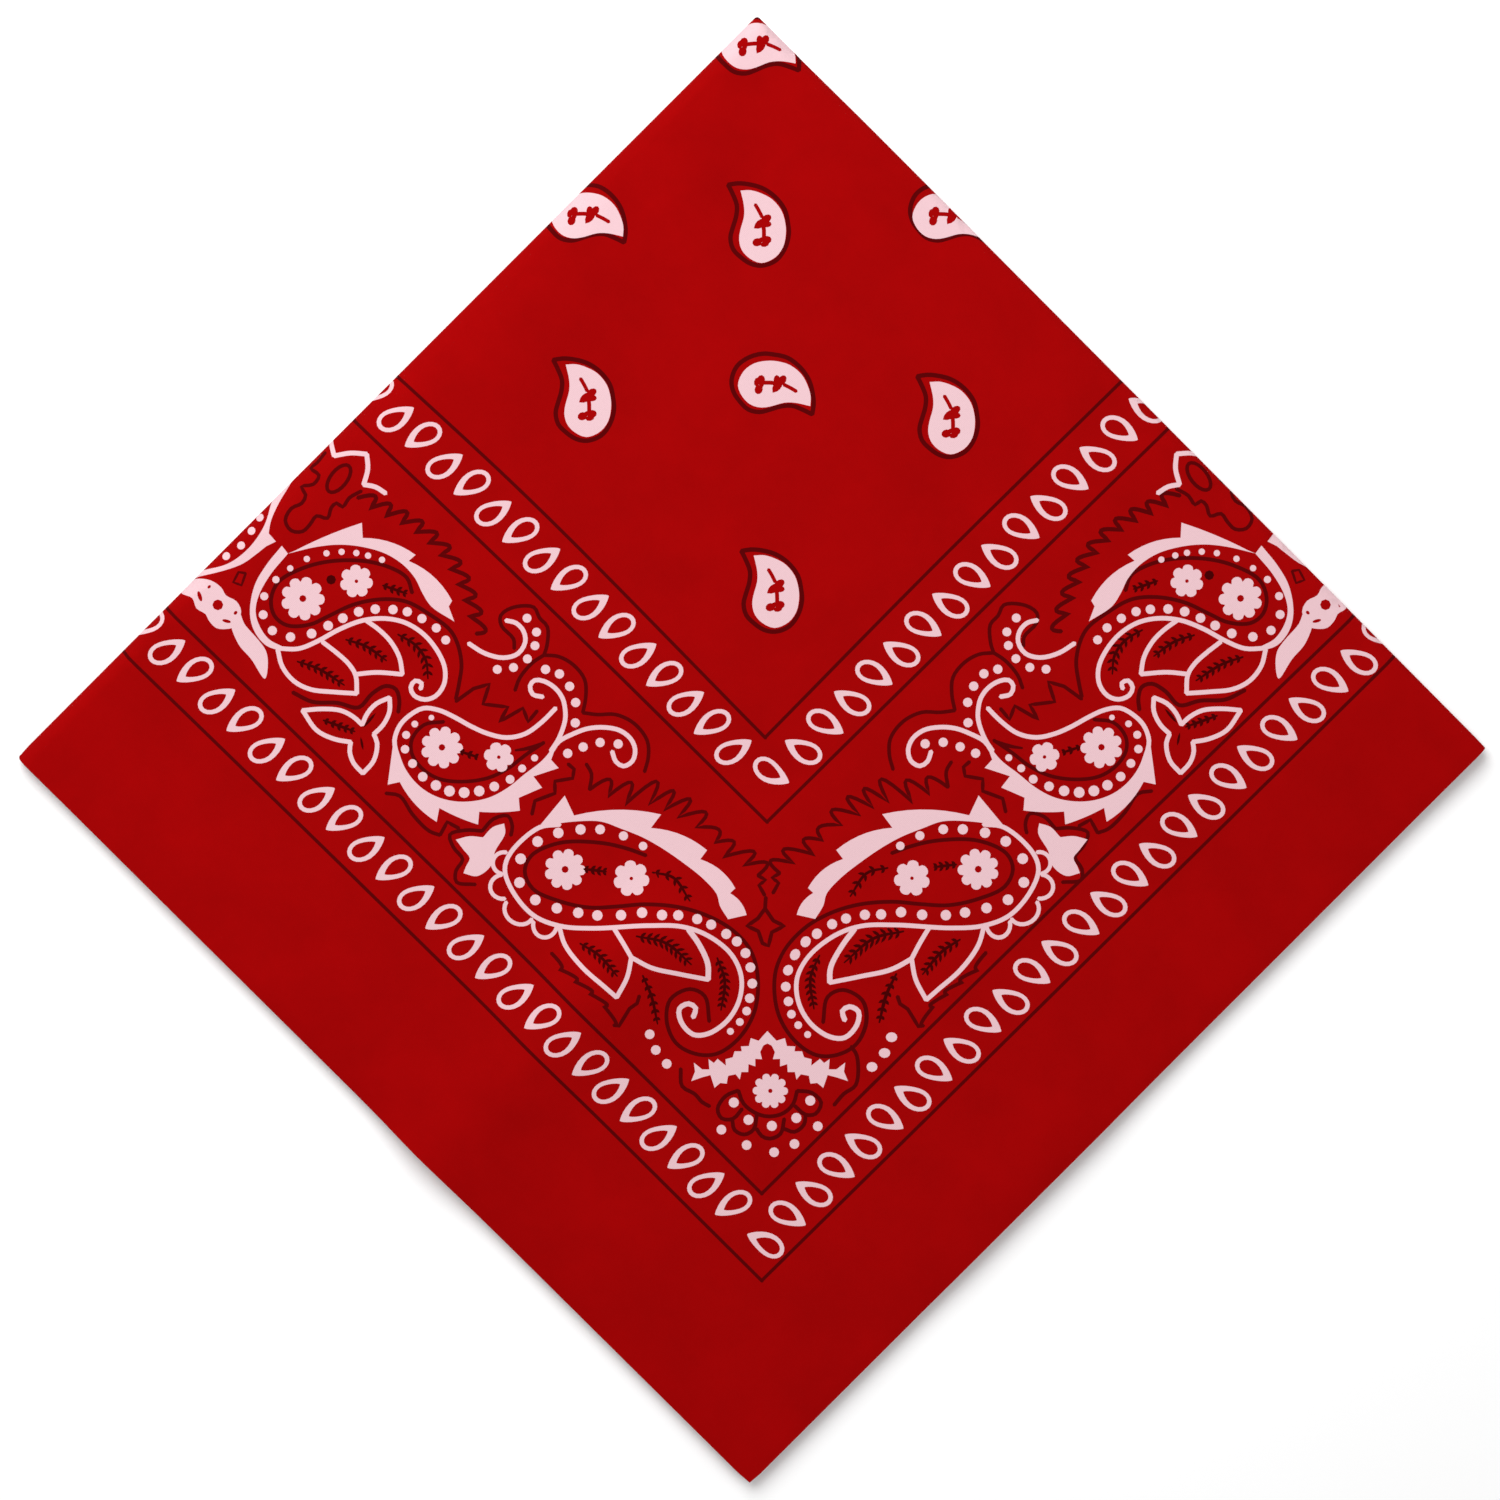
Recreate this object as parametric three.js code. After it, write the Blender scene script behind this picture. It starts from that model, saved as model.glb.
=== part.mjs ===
import * as THREE from 'three';

// Cotton bandana folded in quarters and laid down as a diamond: millimetres, +Z up, resting at Z = 0.
// Distances a and b run from the middle of the bandana, where both folds meet: a along the first fold
// towards the right corner, b along the second fold towards the left corner.

// The cut, its folded size and its cloth
const cutSide = 550;
const quarterSide = cutSide / 2;
const wall = 1;
const seamGap = 0.3;
const stackHeight = 4.3;

// Corners of the folded square as it lies, each with the small radius of its turn
const corners = {
  middle: { x: 1.41, y: 195.38, round: 1.3 },
  right: { x: 195.1, y: 0.37, round: 0.6 },
  hem: { x: -0.58, y: -195.27, round: 1 },
  left: { x: -195.51, y: -1.96, round: 1.6 },
};

// The folds: the first joins two layers, the second wraps round all four.
// width and puff are the roll's depth and its extra height, reach is how far in that height fades
const folds = {
  first: { width: 4.5, puff: 0.9, reach: 18, rim: 2.4 },
  second: { width: 6, puff: 1.5, reach: 22, rim: 0.2 },
};
const wrapStart = 8;
const wrapLength = 40;
const innerRim = 0.6;

// Soft creases of the top layer: a line from one point to another, its width and its height
const creases = [
  { name: 'roll beside the second fold', fromA: 7, fromB: 26, toA: 8, toB: 122, width: 9, height: 0.9 },
  { name: 'lower roll of the second fold', fromA: 8, fromB: 150, toA: 7, toB: 205, width: 8, height: 0.5 },
  { name: 'wrinkle over the left margin', fromA: 148, fromB: 236, toA: 144, toB: 276, width: 8, height: 1.3 },
  { name: 'dip right of the wrinkle', fromA: 163, fromB: 236, toA: 160, toB: 276, width: 9, height: -0.5 },
  { name: 'swell of the right margin', fromA: 258, fromB: 176, toA: 262, toB: 132, width: 13, height: 0.8 },
  { name: 'dip of the right margin', fromA: 262, fromB: 98, toA: 250, toB: 80, width: 14, height: -0.4 },
  { name: 'swell down the centre field', fromA: 50, fromB: 78, toA: 122, toB: 132, width: 26, height: 0.5 },
  { name: 'puff at the print corner', fromA: 150, fromB: 156, toA: 138, toB: 146, width: 12, height: 0.5 },
  { name: 'swell of the left margin', fromA: 92, fromB: 250, toA: 60, toB: 262, width: 18, height: 0.4 },
];

// Edge of the hidden layers from the surface up: height as a share of the edge's own height, and how
// far each side stands back from the folded square's outline, a groove between one layer and the next
const layeredEdge = [
  { height: 0, open: 1.1, first: 0.9, second: 2.4 },
  { height: 0.07, open: 0.7, first: 0.4, second: 2 },
  { height: 0.26, open: 0.7, first: 0.1, second: 1.7 },
  { height: 0.33, open: 2, first: 0, second: 1.6 },
  { height: 0.41, open: 0.4, first: 0, second: 1.5 },
  { height: 0.6, open: 0.4, first: 0.2, second: 1.4 },
  { height: 0.67, open: 2, first: 0.4, second: 1.4 },
  { height: 0.78, open: 0.8, first: 0.8, second: 1.3 },
];
const topLayerBack = 0.8;

// Spacing of the stations along a side
const rollSteps = 5;
const evenSteps = 24;
const openSteps = [7, 2, 0.7, 0];

const clothRed = new THREE.MeshStandardMaterial({ color: 0xa80505, roughness: 0.85, metalness: 0 });
const hiddenRed = new THREE.MeshStandardMaterial({ color: 0x8f0505, roughness: 0.9, metalness: 0 });

// A quarter turn of the roll at each step: inset is its share inwards, rise its share upwards
function rollAt(step) {
  const turn = Math.min(step / rollSteps, 1) * (Math.PI / 2);
  return { inset: 1 - Math.cos(turn), rise: Math.sin(turn) };
}

// Distances from a fold to each station: close together on the roll, even, then close at the open edge
function stations(rollWidth, foldBack, openBack) {
  const list = [];
  for (let step = 0; step < rollSteps; step += 1) {
    list.push({ at: foldBack + (rollWidth - foldBack) * rollAt(step).inset, rise: rollAt(step).rise });
  }
  const evenEnd = quarterSide - openSteps[0];
  for (let step = 0; step < evenSteps; step += 1) {
    list.push({ at: rollWidth + (evenEnd - rollWidth) * (step / evenSteps), rise: 1 });
  }
  const openScale = 1 - openBack / openSteps[0];
  for (const back of openSteps) {
    list.push({ at: quarterSide - openBack - back * openScale, rise: 1 });
  }
  return list;
}

// Turns the square corner of one side pair into an arc: along and across are distances from the corner
function roundTurn(along, across, radius) {
  if (along >= radius || across >= radius) return [along, across];
  const u = 1 - along / radius;
  const v = 1 - across / radius;
  return [
    radius * (1 - u * Math.sqrt(1 - (v * v) / 2)),
    radius * (1 - v * Math.sqrt(1 - (u * u) / 2)),
  ];
}

// Place of a point of the folded square, its corners rounded
function planPoint(a, b) {
  const farA = quarterSide - a;
  const farB = quarterSide - b;
  let [nearA, nearB] = roundTurn(a, b, corners.middle.round);
  if (a > b && farA < corners.right.round) {
    const [backA, backB] = roundTurn(farA, b, corners.right.round);
    [nearA, nearB] = [quarterSide - backA, backB];
  }
  if (b > a && farB < corners.left.round) {
    const [backA, backB] = roundTurn(a, farB, corners.left.round);
    [nearA, nearB] = [backA, quarterSide - backB];
  }
  if (farA < corners.hem.round && farB < corners.hem.round) {
    const [backA, backB] = roundTurn(farA, farB, corners.hem.round);
    [nearA, nearB] = [quarterSide - backA, quarterSide - backB];
  }
  const p = nearA / quarterSide;
  const q = nearB / quarterSide;
  const { middle, right, hem, left } = corners;
  const blend = (axis) => middle[axis] * (1 - p) * (1 - q) + right[axis] * p * (1 - q)
    + left[axis] * (1 - p) * q + hem[axis] * p * q;
  return { x: blend('x'), y: blend('y') };
}

function bump(distance, width) {
  return Math.exp(-((distance / width) ** 2));
}

function distanceToCrease(a, b, crease) {
  const runA = crease.toA - crease.fromA;
  const runB = crease.toB - crease.fromB;
  const share = ((a - crease.fromA) * runA + (b - crease.fromB) * runB) / (runA * runA + runB * runB);
  const on = Math.min(Math.max(share, 0), 1);
  return Math.hypot(a - crease.fromA - on * runA, b - crease.fromB - on * runB);
}

// Height of the top layer's upper face away from the rolls
function clothHeight(a, b) {
  let height = stackHeight + folds.second.puff * bump(a, folds.second.reach)
    + folds.first.puff * bump(b, folds.first.reach);
  for (const crease of creases) {
    height += crease.height * bump(distanceToCrease(a, b, crease), crease.width);
  }
  return height;
}

// How far the first fold has opened into its two pairs of layers: none where the second fold wraps it
function pairShare(a) {
  const share = Math.min(Math.max((a - wrapStart) / wrapLength, 0), 1);
  return share * share * (3 - 2 * share);
}

// Height where the top layer's roll ends: low round the second fold, half way down round the first
function rimHeight(a) {
  return folds.second.rim + (folds.first.rim - folds.second.rim) * pairShare(a);
}

// Grid of points of one face of the cloth, set back from the folds and lowered from the top face
function clothFace(foldBack, openBack, lower, lowestRim) {
  const alongA = stations(folds.second.width, foldBack, openBack);
  const alongB = stations(folds.first.width, foldBack, openBack);
  return alongA.map((stationA) => alongB.map((stationB) => {
    const place = planPoint(stationA.at, stationB.at);
    const rim = Math.max(rimHeight(stationA.at), lowestRim);
    const top = clothHeight(stationA.at, stationB.at) - lower;
    return new THREE.Vector3(place.x, place.y, rim + (top - rim) * stationA.rise * stationB.rise);
  }));
}

// Steps round the border of a grid, anticlockwise from above, as pairs of grid indices
function borderSteps(last) {
  const steps = [];
  for (let k = 0; k < last; k += 1) steps.push([0, k]);
  for (let k = 0; k < last; k += 1) steps.push([k, last]);
  for (let k = last; k > 0; k -= 1) steps.push([last, k]);
  for (let k = last; k > 0; k -= 1) steps.push([k, 0]);
  return steps;
}

// A closed solid gathered face by face
class SolidBuilder {
  constructor() {
    this.positions = [];
    this.indices = [];
  }

  addPoint(point) {
    this.positions.push(point.x, point.y, point.z);
    return this.positions.length / 3 - 1;
  }

  addGrid(grid, facesUp) {
    const ids = grid.map((row) => row.map((point) => this.addPoint(point)));
    for (let i = 0; i + 1 < ids.length; i += 1) {
      for (let j = 0; j + 1 < ids.length; j += 1) {
        const [p, q, r, s] = [ids[i][j], ids[i][j + 1], ids[i + 1][j + 1], ids[i + 1][j]];
        this.indices.push(...(facesUp ? [p, q, r, p, r, s] : [p, r, q, p, s, r]));
      }
    }
    return borderSteps(ids.length - 1).map(([i, j]) => ids[i][j]);
  }

  addBand(lowerLoop, upperLoop) {
    lowerLoop.forEach((lower, k) => {
      const next = (k + 1) % lowerLoop.length;
      this.indices.push(lower, lowerLoop[next], upperLoop[next], lower, upperLoop[next], upperLoop[k]);
    });
  }

  addFlatBase(loop) {
    const centre = this.addPoint(new THREE.Vector3(0, 0, 0));
    loop.forEach((id, k) => this.indices.push(centre, loop[(k + 1) % loop.length], id));
  }

  finish(name, material) {
    const geometry = new THREE.BufferGeometry();
    geometry.setAttribute('position', new THREE.Float32BufferAttribute(this.positions, 3));
    geometry.setIndex(this.indices);
    geometry.computeVertexNormals();
    const mesh = new THREE.Mesh(geometry, material);
    mesh.name = name;
    return mesh;
  }
}

// The quarter that shows: one layer of cloth that rolls down at both folds
function frontPanel() {
  const solid = new SolidBuilder();
  const upper = solid.addGrid(clothFace(0, 0, 0, 0), true);
  const lower = solid.addGrid(clothFace(wall, 0, wall, 0), false);
  solid.addBand(lower, upper);
  return solid.finish('front_panel', clothRed);
}

// One ring of the hidden layers' edge, below the border of their top face
function edgeRing(topBorder, row) {
  const spread = (share, foldBack) => foldBack + (quarterSide - row.open - foldBack) * share;
  return topBorder.map((border) => {
    const a = spread(border.shareA, row.second);
    const b = spread(border.shareB, row.second + (row.first - row.second) * pairShare(a));
    const place = planPoint(a, b);
    return new THREE.Vector3(place.x, place.y, border.height * row.height);
  });
}

// The three layers under it as one rounded solid, grooved between layers along the open edges
function foldedLayers() {
  const foldBack = wall + seamGap;
  const solid = new SolidBuilder();
  const face = clothFace(foldBack, topLayerBack, foldBack, innerRim);
  const topLoop = solid.addGrid(face, true);
  const last = face.length - 1;
  const shareOf = (list, index) => (list[index].at - list[0].at) / (list[last].at - list[0].at);
  const alongA = stations(folds.second.width, foldBack, topLayerBack);
  const alongB = stations(folds.first.width, foldBack, topLayerBack);
  const topBorder = borderSteps(last).map(([i, j]) => ({
    shareA: shareOf(alongA, i),
    shareB: shareOf(alongB, j),
    height: face[i][j].z,
  }));
  const loops = layeredEdge.map((row) => edgeRing(topBorder, row).map((point) => solid.addPoint(point)));
  loops.push(topLoop);
  for (let k = 0; k + 1 < loops.length; k += 1) {
    solid.addBand(loops[k], loops[k + 1]);
  }
  solid.addFlatBase(loops[0]);
  return solid.finish('folded_layers', hiddenRed);
}

const bandana = new THREE.Group();
bandana.add(frontPanel(), foldedLayers());

// The folded square lies centred on its own box
const lying = new THREE.Box3().setFromObject(bandana);
bandana.position.x = -(lying.min.x + lying.max.x) / 2;
bandana.position.y = -(lying.min.y + lying.max.y) / 2;

export default bandana;
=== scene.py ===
"""Printed cotton bandana folded in quarters and laid down as a diamond."""
import math

import bpy
import numpy as np
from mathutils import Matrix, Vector
from mathutils.geometry import delaunay_2d_cdt


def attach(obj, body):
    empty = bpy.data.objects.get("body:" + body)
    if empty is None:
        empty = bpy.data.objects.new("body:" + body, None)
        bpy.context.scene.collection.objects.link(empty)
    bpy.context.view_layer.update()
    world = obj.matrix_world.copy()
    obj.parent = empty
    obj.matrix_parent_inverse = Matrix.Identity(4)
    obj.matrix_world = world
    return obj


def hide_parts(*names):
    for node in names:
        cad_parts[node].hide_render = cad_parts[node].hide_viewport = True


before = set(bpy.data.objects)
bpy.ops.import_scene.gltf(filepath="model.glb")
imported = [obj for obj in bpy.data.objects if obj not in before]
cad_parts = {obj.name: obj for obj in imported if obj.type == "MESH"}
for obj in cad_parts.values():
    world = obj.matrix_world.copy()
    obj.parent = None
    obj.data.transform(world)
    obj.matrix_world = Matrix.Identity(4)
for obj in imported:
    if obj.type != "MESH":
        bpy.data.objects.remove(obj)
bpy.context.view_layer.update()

bl_info = {
    "name": "Folded bandana",
    "version": (1, 0, 0),
    "blender": (4, 5, 0),
    "location": "3D View > Sidebar > Bandana",
    "description": "Folded cotton bandana with its paisley print, its hidden layers and a pale table",
    "category": "Add Mesh",
}

MM = 0.001
RED, WHITE, DARK, BLACK = 0, 1, 2, 3


# Form of the folded square, in millimetres

QUARTER = 275.0
STACK_HEIGHT = 4.3
# Place and radius of each corner
CORNERS = {
    "middle": (1.41, 195.38, 1.3),
    "right": (195.1, 0.37, 0.6),
    "hem": (-0.58, -195.27, 1.0),
    "left": (-195.51, -1.96, 1.6),
}
FIRST_FOLD = {"width": 4.5, "puff": 0.9, "reach": 18.0, "rim": 2.4}
SECOND_FOLD = {"width": 4.5, "puff": 0.7, "reach": 20.0, "rim": 0.2}
LOOSE_ROLL = {"extra": 8.5, "middle": 100.0, "reach": 56.0}
SIDE_BOW = 0.0003
WRAP_START = 8.0
WRAP_LENGTH = 40.0

# Soft creases: from (a, b) to (a, b), width on the left and right of that run, and height
CREASES = (
    ((20, 40), (21, 126), 9, 9, 0.8),
    ((16, 150), (15, 205), 9, 9, 0.4),
    ((157, 136), (156, 152), 7, 7, 0.9),
    ((155, 190), (151, 280), 12, 17, 3.6),
    ((266, 192), (268, 146), 12, 12, 1.3),
    ((262, 104), (250, 84), 13, 13, -0.6),
    ((52, 76), (122, 130), 20, 20, 0.8),
    ((92, 250), (60, 262), 18, 18, 0.5),
    ((232, 30), (214, 64), 12, 12, 0.4),
)


def smoothstep(share):
    share = np.clip(share, 0.0, 1.0)
    return share * share * (3.0 - 2.0 * share)


def bump(distance, width):
    return np.exp(-((distance / width) ** 2))


def round_turn(along, across, radius):
    """Turns the square corner between two sides into an arc."""
    inside = (along < radius) & (across < radius)
    u = np.clip(1.0 - along / radius, 0.0, 1.0)
    v = np.clip(1.0 - across / radius, 0.0, 1.0)
    turned = radius * (1.0 - u * np.sqrt(1.0 - v * v / 2.0))
    turned_across = radius * (1.0 - v * np.sqrt(1.0 - u * u / 2.0))
    return np.where(inside, turned, along), np.where(inside, turned_across, across)


def blend_corners(p, q):
    place = []
    for axis in (0, 1):
        place.append(
            CORNERS["middle"][axis] * (1 - p) * (1 - q)
            + CORNERS["right"][axis] * p * (1 - q)
            + CORNERS["left"][axis] * (1 - p) * q
            + CORNERS["hem"][axis] * p * q
        )
    return np.stack(place, axis=-1)


def rounded_plan(a, b):
    """Place of a point of the folded square, its corners rounded, before it is centred."""
    a, b = round_turn(a, b, CORNERS["middle"][2])
    far_a, b = round_turn(QUARTER - a, b, CORNERS["right"][2])
    a = QUARTER - far_a
    a, far_b = round_turn(a, QUARTER - b, CORNERS["left"][2])
    b = QUARTER - far_b
    far_a, far_b = round_turn(QUARTER - a, QUARTER - b, CORNERS["hem"][2])
    p, q = (QUARTER - far_a) / QUARTER, (QUARTER - far_b) / QUARTER
    bow_p = SIDE_BOW * (2 * p - 1) * 4 * q * (1 - q)
    bow_q = SIDE_BOW * (2 * q - 1) * 4 * p * (1 - p)
    return blend_corners(p + bow_p, q + bow_q)


def lying_centre():
    """Middle of the box round the folded square, which lies over the origin."""
    run = np.linspace(0.0, QUARTER, 1101)
    sides = []
    for distance in (0.0, QUARTER):
        side = np.full_like(run, distance)
        sides += [rounded_plan(run, side), rounded_plan(side, run)]
    outline = np.concatenate(sides)
    return (outline.min(axis=0) + outline.max(axis=0)) / 2.0


CENTRE = lying_centre()


def plan(a, b):
    return rounded_plan(a, b) - CENTRE


def fold_distances(place):
    """Distances a and b of plan points, found by a few Newton steps."""
    target = place + CENTRE
    p = np.full(len(place), 0.5)
    q = np.full(len(place), 0.5)
    step = 1e-4
    for _ in range(6):
        here = blend_corners(p, q)
        along = (blend_corners(p + step, q) - here) / step
        across = (blend_corners(p, q + step) - here) / step
        gap = target - here
        det = along[:, 0] * across[:, 1] - along[:, 1] * across[:, 0]
        p = p + (gap[:, 0] * across[:, 1] - gap[:, 1] * across[:, 0]) / det
        q = q + (gap[:, 1] * along[:, 0] - gap[:, 0] * along[:, 1]) / det
    return np.clip(p, 0.0, 1.0) * QUARTER, np.clip(q, 0.0, 1.0) * QUARTER


def crease(a, b, start, end, left, right):
    """Share of a crease's full height, with its own width on either side."""
    run_a, run_b = end[0] - start[0], end[1] - start[1]
    share = ((a - start[0]) * run_a + (b - start[1]) * run_b) / (run_a ** 2 + run_b ** 2)
    share = np.clip(share, 0.0, 1.0)
    distance = np.hypot(a - start[0] - share * run_a, b - start[1] - share * run_b)
    side = (run_a * (b - start[1]) - run_b * (a - start[0])) / math.hypot(run_a, run_b)
    return bump(distance, right + (left - right) * smoothstep(0.5 + side / (left + right)))


def cloth_height(a, b):
    height = STACK_HEIGHT + SECOND_FOLD["puff"] * bump(a, SECOND_FOLD["reach"])
    height = height + FIRST_FOLD["puff"] * bump(b, FIRST_FOLD["reach"])
    for start, end, left, right, rise in CREASES:
        height = height + rise * crease(a, b, start, end, left, right)
    return height


def second_fold_width(b):
    """Width of the second fold's roll, which is looser along its upper part."""
    return SECOND_FOLD["width"] + LOOSE_ROLL["extra"] * bump(b - LOOSE_ROLL["middle"], LOOSE_ROLL["reach"])


def pair_share(a):
    return smoothstep((a - WRAP_START) / WRAP_LENGTH)


def rim_height(a):
    return SECOND_FOLD["rim"] + (FIRST_FOLD["rim"] - SECOND_FOLD["rim"]) * pair_share(a)


def roll_rise(distance, back, width):
    """Share of the full height on a quarter-round roll that starts at its rim."""
    inset = np.clip((distance - back) / (width - back), 0.0, 1.0)
    return np.sqrt(np.clip(1.0 - (1.0 - inset) ** 2, 0.0, 1.0))


def face_height(a, b, inset=0.0, lowest_rim=0.0):
    """Height of a face that lies the inset under the cloth's upper side, and as far inside its rolls."""
    rim = np.maximum(rim_height(a), lowest_rim)
    top = cloth_height(a, b) - inset
    rise = roll_rise(a, inset, second_fold_width(b)) * roll_rise(b, inset, FIRST_FOLD["width"])
    return rim + (top - rim) * rise


# Outlines of the print, in millimetres from the middle of the folded square

# How far a drawn line's pointed end reaches past its path, in half widths
LINE_END = 0.8
# How far the feet of a wavy line are drawn out from its tops
FOOT_PULL = 0.18
# How deep the notches between petals are, as a share of the radius, and the turn of the first petal
PETAL_DEPTH = 0.24
PETAL_START = 0.3
# Widths of a midrib from its foot to its tip
VEIN_WIDTHS = (0.5, 0.8, 0.8, 0.4)
# How far a frame line runs on past the print's corner, in widths
FRAME_OVERLAP = 0.3


def unit(step):
    return step / max(np.linalg.norm(step), 1e-9)


def left_of(run):
    """Sideways step of length 1 to the left of a run."""
    return np.array([-run[1], run[0]]) / np.linalg.norm(run)


def smooth_curve(points, spacing=1.3, closed=False):
    """Curve through given points, evenly sampled."""
    points = np.asarray(points, dtype=float)
    if closed:
        chain = np.vstack([points[-1:], points, points[:2]])
    else:
        chain = np.vstack([2 * points[0] - points[1], points, 2 * points[-1] - points[-2]])
    out = []
    for k in range(1, len(chain) - 2):
        p0, p1, p2, p3 = chain[k - 1], chain[k], chain[k + 1], chain[k + 2]
        count = max(2, int(math.ceil(np.linalg.norm(p2 - p1) / spacing)))
        t1 = max(np.linalg.norm(p1 - p0), 1e-6) ** 0.5
        t2 = t1 + max(np.linalg.norm(p2 - p1), 1e-6) ** 0.5
        t3 = t2 + max(np.linalg.norm(p3 - p2), 1e-6) ** 0.5
        t = np.linspace(t1, t2, count, endpoint=False)[:, None]
        a1 = (t1 - t) / t1 * p0 + t / t1 * p1
        a2 = (t2 - t) / (t2 - t1) * p1 + (t - t1) / (t2 - t1) * p2
        a3 = (t3 - t) / (t3 - t2) * p2 + (t - t2) / (t3 - t2) * p3
        b1 = (t2 - t) / t2 * a1 + t / t2 * a2
        b2 = (t3 - t) / (t3 - t1) * a2 + (t - t1) / (t3 - t1) * a3
        out.append((t2 - t) / (t2 - t1) * b1 + (t - t1) / (t2 - t1) * b2)
    if not closed:
        out.append(chain[-2][None, :])
    return np.vstack(out)


def curve_shares(path):
    """Share of a curve's length at each of its points."""
    steps = np.linalg.norm(np.diff(path, axis=0), axis=1)
    run = np.concatenate([[0.0], np.cumsum(steps)])
    return run / run[-1]


def curve_normals(path):
    ahead = np.gradient(path, axis=0)
    ahead /= np.maximum(np.linalg.norm(ahead, axis=1, keepdims=True), 1e-9)
    return np.stack([-ahead[:, 1], ahead[:, 0]], axis=1)


def on_curve(path, shares):
    """Points and left-hand normals at shares of a curve's length."""
    at = curve_shares(path)
    normals = curve_normals(path)
    shares = np.atleast_1d(shares)
    points = np.stack([np.interp(shares, at, path[:, i]) for i in (0, 1)], axis=1)
    sides = np.stack([np.interp(shares, at, normals[:, i]) for i in (0, 1)], axis=1)
    return points, sides / np.maximum(np.linalg.norm(sides, axis=1, keepdims=True), 1e-9)


def stroke(path, widths):
    """Outline of a line drawn along a path; widths is one width or a few, spread along it."""
    shares = curve_shares(path)
    widths = np.atleast_1d(np.asarray(widths, dtype=float))
    half = np.interp(shares, np.linspace(0, 1, len(widths)), widths)[:, None] / 2
    normals = curve_normals(path)
    left, right = path + normals * half, path - normals * half
    end = path[-1] + unit(path[-1] - path[-2]) * half[-1] * LINE_END
    start = path[0] + unit(path[0] - path[1]) * half[0] * LINE_END
    return np.vstack([start, left, end, right[::-1]])


def straight(points, spacing):
    """Straight runs from point to point, evenly sampled."""
    points = np.asarray(points, dtype=float)
    runs = []
    for a, b in zip(points[:-1], points[1:]):
        count = max(1, int(math.ceil(np.linalg.norm(b - a) / spacing)))
        runs.append(a + (b - a) * np.linspace(0, 1, count, endpoint=False)[:, None])
    return np.vstack(runs + [points[-1:]])


def placed(shape, centre, turn, flip=1):
    ca, sa = math.cos(turn), math.sin(turn)
    x, y = np.asarray(shape)[:, 0] * flip, np.asarray(shape)[:, 1]
    return np.asarray(centre) + np.stack([x * ca - y * sa, x * sa + y * ca], axis=1)


def centroid(shape):
    x, y = shape[:, 0], shape[:, 1]
    after_x, after_y = np.roll(x, -1), np.roll(y, -1)
    cross = x * after_y - after_x * y
    return np.array([((x + after_x) * cross).sum(), ((y + after_y) * cross).sum()]) / (3 * cross.sum())


def disc(centre, radius, sides=12):
    turn = np.arange(sides) / sides * 2 * math.pi
    return np.asarray(centre) + radius * np.stack([np.cos(turn), np.sin(turn)], axis=1)


def oval(centre, length, width, angle, sides=14):
    turn = np.arange(sides) / sides * 2 * math.pi
    return placed(np.stack([np.cos(turn) * length / 2, np.sin(turn) * width / 2], axis=1), centre, angle)


def blossom(centre, radius, petals):
    turn = np.arange(petals * 6) / (petals * 6) * 2 * math.pi
    reach = radius * (1 - PETAL_DEPTH + PETAL_DEPTH * np.abs(np.sin(turn * petals / 2)) ** 0.55)
    turn = turn + PETAL_START
    return np.asarray(centre) + np.stack([reach * np.cos(turn), reach * np.sin(turn)], axis=1)


def drop(length, width, curl, samples=24):
    """Teardrop with its tip ahead and bent to the left, its middle at zero."""
    turn = np.arange(samples) / samples * 2 * math.pi
    along = np.cos(turn) * length / 2
    across = np.sin(turn) * np.abs(np.sin(turn / 2)) ** 0.62 * width / 1.78
    ahead = np.clip(along / length + 0.1, 0.0, None)
    return np.stack([along, across + curl * (ahead / 0.6) ** 2], axis=1)


def leaf(base, tip, swell_left, swell_right, samples):
    """Pointed leaf between two points, its sides bowed by two different amounts."""
    base, tip = np.asarray(base, dtype=float), np.asarray(tip, dtype=float)
    run = tip - base
    t = np.linspace(0, 1, samples + 1)
    arch = (4 * t * (1 - t)) ** 0.85
    left = base + t[:, None] * run + left_of(run) * (arch * swell_left)[:, None]
    right = base + t[:, None] * run - left_of(run) * (arch * swell_right)[:, None]
    return np.vstack([left, right[-2:0:-1]])


def arc(start, end, bow, samples=8):
    """Run between two points that bulges to its left."""
    start, end = np.asarray(start, dtype=float), np.asarray(end, dtype=float)
    run = end - start
    t = np.linspace(0, 1, samples)[:, None]
    return start + run * t + left_of(run) * bow * 4 * t * (1 - t)


def crest(inner, start, teeth):
    """Toothed band: its inner curve, then each tooth as its tip, the bulge of its back and its foot."""
    outer, at = [np.asarray(start, dtype=float)[None, :]], start
    for tip, bow, foot in teeth:
        outer.append(arc(at, tip, bow)[1:])
        if foot:
            outer.append(np.asarray(foot, dtype=float)[None, :])
            at = foot
    return np.vstack([smooth_curve(inner), np.vstack(outer)[::-1]])


def arches(feet, tops):
    """Wavy line with sharp feet and round tops that lean forward."""
    feet, tops = np.array(feet, dtype=float), np.asarray(tops, dtype=float)
    feet[1:-1] += FOOT_PULL * (2 * feet[1:-1] - tops[:-1] - tops[1:])
    runs = []
    for foot, top, after in zip(feet[:-1], tops, feet[1:]):
        bulge = 2 * top - (foot + after) / 2
        t = np.linspace(0, 1, 8, endpoint=False)[:, None]
        runs.append((1 - t) ** 2 * foot + 2 * t * (1 - t) * bulge + t ** 2 * after)
    return np.vstack(runs + [feet[-1:]])


def leaning_arches(points, count, height, lean=0.85):
    path = smooth_curve(points)
    feet, _ = on_curve(path, np.linspace(0, 1, count + 1))
    under, sides = on_curve(path, np.clip((np.arange(count) + lean) / count, 0, 1))
    return arches(feet, under + sides * height)


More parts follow.
